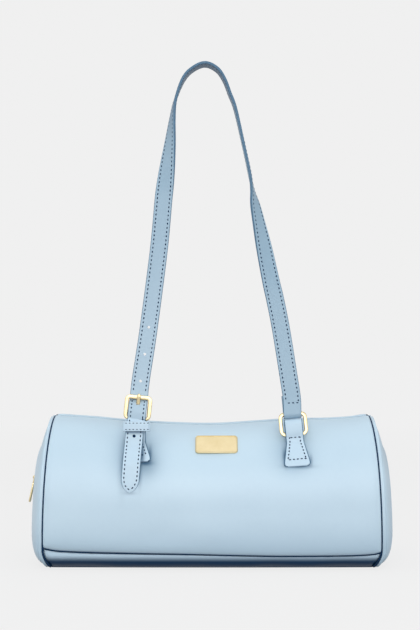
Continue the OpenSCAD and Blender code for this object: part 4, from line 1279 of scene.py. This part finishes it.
cast_loop(FRAME_HALF, FRAME_H, 2.6, buckle_turn, BUCKLE, frame_bar, "buckle_frame_cast",
          "buckle_frame")
cast_loop(RING_HALF, BAR_GAP, 3.5, ring_turn, RING, lambda z: strap_outline(3.0, 2.6, 20),
          "ring_cast", "ring")

# %% [markdown]
# The prong is a bar that tapers at its tip and lies on the frame's upper rail, with an eye round
# the heel bar.

# %% Prong
PRONG_LONG, PRONG_OUT, EYE_R = 17.8, 1.2 + 0.9 + 0.3, 1.85
prong_tip = PRONG_LONG + 2.4 * 0.7
prong_turn = buckle_turn @ Matrix.Rotation(math.atan2(PRONG_OUT, PRONG_LONG), 3, "X")
heights = [1.8 + (prong_tip - 0.6) * k / 14 for k in range(14)] + [prong_tip + 0.5, prong_tip + 1]
bar_path = [BUCKLE + prong_turn @ Vector((0, 0, z)) for z in heights]
bar_size = [(2.9, 1.9)] * 13 + [(2.7, 1.7), (2.0, 1.3), (0.8, 0.5)]
piece(carried(bar_path, [prong_turn @ FRONT] * 16, lambda i: strap_outline(*bar_size[i], 16)),
      "prong_bar", "prong", [gold], ["buckle_prong"])
eye = [BUCKLE + buckle_turn @ Vector((0, EYE_R * math.cos(a), EYE_R * math.sin(a)))
       for a in circle(28)]
rod(eye, [p - BUCKLE for p in eye], strap_outline(2.2, 1.05, 16), "prong_eye", "prong", gold,
    closed=True)

# %% [markdown]
# Small flat parts are cast plates: a rounded outline is pushed out to a thickness, and a bevel
# softens the edges. A function then carries the plate to its place.

# %% Plates


def plate(width, height, thick, corner, to_place, name, body, material, node, slot="gold_metal",
          soft=0.4):
    bm = bmesh.new()
    ring = [bm.verts.new((p.x, p.y, 0)) for p in
            rounded_loop(width / 2, height / 2, corner, 6, 1)]
    face = bm.faces.new(ring)
    block = bmesh.ops.extrude_face_region(bm, geom=[face])
    top = [v for v in block["geom"] if isinstance(v, bmesh.types.BMVert)]
    bmesh.ops.translate(bm, verts=top, vec=(0, 0, thick))
    facing_out(bm)
    rims = [e for e in bm.edges if e.calc_face_angle(0) > 1]
    bmesh.ops.bevel(bm, geom=rims, offset=soft, segments=3, profile=0.5, affect="EDGES",
                    material=-1)
    broad = sorted(bm.faces, key=lambda face: -face.calc_area())[:2]
    bmesh.ops.inset_individual(bm, faces=broad, thickness=0.2, depth=0)
    for vert in bm.verts:
        vert.co = to_place(vert.co) * MM
    piece(facing_out(bm), name, body, [material], [node] if node else ())


# %% [markdown]
# The badge on the front is a plain plated plate with a raised rim. It leans with the leather
# behind it.

# %% Badge
BADGE_W, BADGE_H, BADGE_T, BADGE_UP, RIM_IN = 34, 18.6, 1.5, 1.1, 0.7
badge_low, badge_high = (skin_at(BADGE_X, BADGE_Z - down, 0.7) for down in (1, 0))
badge_up = (badge_high - badge_low).normalized()
badge_out = ACROSS.cross(badge_up)


def on_badge(p):
    return badge_high + ACROSS * p.x + badge_up * (p.y + BADGE_UP) + badge_out * p.z


plate(BADGE_W, BADGE_H, BADGE_T, 2.5, on_badge, "badge_plate", "bag", satin_gold, "badge",
      "badge_metal", 0.35)
rim = [on_badge(Vector((p.x, p.y, BADGE_T))) for p in
       rounded_loop(BADGE_W / 2 - RIM_IN, BADGE_H / 2 - RIM_IN, 1.9)]
rod(rim, [badge_out] * len(rim), strap_outline(1.0, 0.8, 12), "badge_rim", "bag", gold,
    closed=True)

# %% [markdown]
# The zip closes the long slot over the top and down both ends. Its line runs up the dome of the
# left end, along the crown and down the right end. On a dome it is found by its height.

# %% Line of the zip
TAPE_DEEP, TAPE_T, TEETH_HALF, TAPE_W = 2.3, 0.7, 2.9, 10


def dome_at(share, y, deep):
    depth, height = half_depth(1) - deep, top_height(1) - deep
    drop = 1 - math.cos(math.radians(angle_at(abs(y), depth))) ** (2 / CROWN)
    rise, aside = share - drop * share**3, abs(y) / depth
    ring = (aside**CROWN + rise**CROWN) ** (1 / CROWN)
    angle = math.degrees(math.asin(min(1, (aside / ring) ** (CROWN / 2))))
    x = dome_x(min(1, ring), angle, section(angle, depth, height)[1], deep)
    return Vector((x, y, BELLY + rise * (height - BELLY)))


def zip_line(y, deep):
    low = (SLIT_LOW + 5 - BELLY) / (HEIGHT - BELLY)
    left = [dome_at(low + (1 - low) * k / 20, y, deep) for k in range(21)]
    top = [wall(u, angle_at(abs(y), half_depth(u) - deep), deep, math.copysign(1, y), 0)
           for u in [0.985 * (k / 30 - 1) for k in range(61)]]
    return left + top + mirrored_x(left)[::-1]


# %% [markdown]
# The tapes are woven ribbons along that line, one on each side of the teeth. A small cloth patch
# closes the slot below each end of the zip.

# %% Tapes and patches of the zip


def sheet_of(lines):
    columns, rows = len(lines[0]) - 1, len(lines) - 1
    return bent_grid(columns, rows, lambda s, t: lines[round(t * rows)][round(s * columns)])


def zip_tape(side, name, node):
    bm = sheet_of([zip_line(side * (TEETH_HALF + TAPE_W * k / 6), TAPE_DEEP) for k in range(7)])
    if side > 0:
        bmesh.ops.reverse_faces(bm, faces=bm.faces)
    bm.normal_update()
    soft_sheet(bm, name, tape_cloth, [node], TAPE_T)


def end_patch(hand):
    low, high = SLIT_LOW - 2 - BELLY, SLIT_LOW + 6.5 - BELLY
    lines = [[dome_at((low + (high - low) * k / 6) / (HEIGHT - BELLY), y, TAPE_DEEP + 2.2)
              for k in range(7)] for y in (-4.5, -2.2, 0, 2.2, 4.5)]
    if hand == "right":
        lines = [mirrored_x(line)[::-1] for line in lines]
    soft_sheet(sheet_of(lines), f"zip_end_patch_{hand}", tape_cloth, mm=0.5, offset=0)


zip_tape(-1, "zip_ribbon_front", "zip_tape_front")
zip_tape(1, "zip_ribbon_back", "zip_tape_back")
for hand in ("left", "right"):
    end_patch(hand)

# %% [markdown]
# The slider is two plates joined by a bridge, with two ears that hold the puller's pin. It leans
# with the dome of the left end. A plate's numbers are width, height, thickness and corner.

# %% Slider
SLIDER, PIN = Vector((-144.31, 0, 70.0)), Vector((-147.56, 0, 67.191))
FACE, BRIDGE, EAR, EAR_Y = (9.2, 11, 1.0, 2.76), (2.3, 2.9, 3.4, 0.4), (3.0, 3.1, 0.95, 1.0), 1.95
slide_turn = Matrix.Rotation(math.atan2(0.1072, 0.9942), 3, "Y")


def slider_face(off, down=0.0):
    return lambda p: SLIDER + slide_turn @ Vector((off - p.z, p.x, p.y - down))


for off, name, node in ((-1.4, "slider_top", "zip_slider"), (2.4, "slider_under", None)):
    plate(*FACE, slider_face(off), name, "slider", gold, node)
plate(*BRIDGE, slider_face(1.7, down=4.05), "slider_bridge", "slider", gold, None, soft=0.1)
for y in (-EAR_Y, EAR_Y):
    plate(*EAR, lambda p: PIN + slide_turn @ Vector((p.x + 0.7, y - 0.45 + p.z, p.y)),
          "slider_ear", "slider", gold, None, soft=0.2)
rod([PIN + Vector((0, y, 0)) for y in (-2.3, -1, 1, 2.3)], [ACROSS] * 4, round_outline(0.8, 12),
    "slider_pin", "slider", gold)

# %% [markdown]
# The puller hangs on the pin by a small eye and a neck, turned a little away from the bag.

# %% Puller
PULLER_W, PULLER_LONG, PULLER_T, PULLER_EYE = 6.0, 17.6, 1.6, 1.3
puller_turn = Matrix.Rotation(math.radians(12), 3, "Y")
plate(PULLER_W, PULLER_LONG, PULLER_T, 2.1, lambda p: PIN + puller_turn @ Vector(
    (PULLER_T / 2 - p.z, p.x, p.y - 12.2)), "puller_tab", "puller", gold, "zip_puller", soft=0.5)
rod([PIN + puller_turn @ Vector((0, 0, z)) for z in (-1.6, -2.6, -3.6, -4.6)],
    [puller_turn @ ACROSS] * 4, strap_outline(2.6, 1.6, 16), "puller_neck", "puller", gold)
loop = [PIN + puller_turn @ Vector((PULLER_EYE * math.cos(a), 0, PULLER_EYE * math.sin(a)))
        for a in circle(24)]
rod(loop, [p - PIN for p in loop], strap_outline(2.6, 0.75, 16), "puller_eye", "puller", gold,
    closed=True)

# %% [markdown]
# Inside is a loose cloth lining: one long piece and two ends, open where the zip is. None of it
# shows while the bag is closed.

# %% Lining
LINING_DEEP, BOARD_TOP, SHORTER, LINING_RING = 3.3, 5.0, 3, 0.96


def lining_place(s, t):
    start = angle_at(SLIT + 1.5, half_depth(1))
    side, angle = either_side(start + (360 - 2 * start) * t)
    u = 2 * s - 1
    y, z = section(angle, half_depth(0) - LINING_DEEP, top_height(u) - LINING_DEEP, BOARD_TOP)
    return Vector((u * (seam_x(z) - SHORTER), side * y * half_depth(u) / half_depth(0), z))


soft_sheet(facing_out(bent_grid(60, 90, lining_place)), "lining_cloth_body", lining_cloth,
           ["lining_body"], mm=0.6)


def lining_end(hand):
    def place(s, t):
        side, angle = either_side(360 * s)
        return dome(LINING_RING - LINING_RING * t, angle, LINING_DEEP + 0.3, side)

    bm = bent_grid(72, 16, place)
    bmesh.ops.remove_doubles(bm, verts=bm.verts, dist=2e-5)
    without(bm, SLIT + 1, SLIT_LOW + 2)
    if hand == "right":
        bmesh.ops.scale(bm, vec=(-1, 1, 1), verts=bm.verts)
    soft_sheet(facing_out(bm), f"lining_cloth_{hand}", lining_cloth,
               [f"lining_end_{hand}"])


for hand in ("left", "right"):
    lining_end(hand)

# %% [markdown]
# A slip pocket hangs at the back, as high as the solid model's own pocket, and a patch of leather
# strengthens the front behind each tab.

# %% Pocket and patches
POCKET_DEEP, PATCH_DEEP, PATCH_W, PATCH_H, PATCH_LOW = 4.6, 2.65, 26, 20, 81.5
pocket_low, pocket_high = (corner.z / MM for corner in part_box("slip_pocket"))
print("pocket from", round(pocket_low, 1), "to", round(pocket_high, 1))


def pocket_place(s, t):
    u, z = (s - 0.5) * 0.52, pocket_low + (pocket_high - pocket_low) * t
    q = skin_at(u * HALF_LEN, max(z, BELLY + 0.1), -POCKET_DEEP)
    return Vector((q.x, -q.y if z > BELLY else half_depth(u) - POCKET_DEEP, z))


def patch_place(x):
    return lambda s, t: skin_at(x + (s - 0.5) * PATCH_W, PATCH_LOW + PATCH_H * t, -PATCH_DEEP)


soft_sheet(facing_out(bent_grid(12, 12, pocket_place)), "pocket_cloth", lining_cloth,
           ["slip_pocket"])
for k, x in enumerate((BUCKLE.x, RING.x)):
    soft_sheet(facing_out(bent_grid(8, 8, patch_place(x))), f"patch_leather_{k}", edge_paint_and_shade,
               ["tab_patches"] if k == 0 else ())

# %% [markdown]
# The bag stands on plain paper. The floor takes a pale shadow, and camera and metal see it in
# the paper's own tone, so that no horizon line shows.

# %% Ground
UNDER_LIGHT, UNDER_EYE, GLOW = (0.22, 0.22, 0.23, 1), (0.9, 0.9, 0.9, 1), (0.872, 0.872, 0.872, 1)
NEAR, FAR, FLOOR = 0.5, 1.5, 6
bm = bmesh.new()
bmesh.ops.create_grid(bm, x_segments=1, y_segments=1, size=FLOOR)
floor = as_object(bm, "paper_floor")
paper = Finish("paper", (0.8, 0.8, 0.8, 1), 0.9)
by_camera, by_metal = (paper.node("ShaderNodeLightPath", {}, {}, ray) for ray in (
    "Is Camera Ray", "Is Glossy Ray"))
looked_at = by_camera + by_metal
paper.set("Base Color", paper.mix(looked_at, UNDER_LIGHT, UNDER_EYE))
paper.set("Specular IOR Level", 0.0)
away = paper.node("ShaderNodeVectorMath", {"operation": "LENGTH"}, {0: paper.place}, "Value")
far = paper.node("ShaderNodeMapRange", {}, {"Value": away, "From Min": NEAR, "From Max": FAR,
                 "To Min": 0.0, "To Max": 1.0})
glow = paper.node("ShaderNodeEmission", {}, {"Color": GLOW, "Strength": 1.0})
shown = paper.node("ShaderNodeMixShader", {}, {0: looked_at * (far * 0.1 + 0.9),
                   1: Channel(paper, paper.shader.outputs[0]), 2: glow})
paper.tree.links.new(shown.socket, paper.tree.nodes["Material Output"].inputs[0])
floor.data.materials.append(paper.material)

# %% [markdown]
# Some pieces of the solid model are shown as they are: the zip's teeth and stops, and the hidden
# washers and board. They keep their shape and get the finish of what they are made of.

# %% Materials of the parts that stay
STAY = {
    "zip_teeth_front": gold, "zip_teeth_back": gold, "zip_teeth_end": gold, "zip_stops": gold,
    "badge_washers": steel, "base_board": board,
}
for name, material in STAY.items():
    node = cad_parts[name]
    node.data.materials.clear()
    node.data.materials.append(material)
print("nodes kept:", len(STAY))

# %% Finish
bpy.context.view_layer.update()
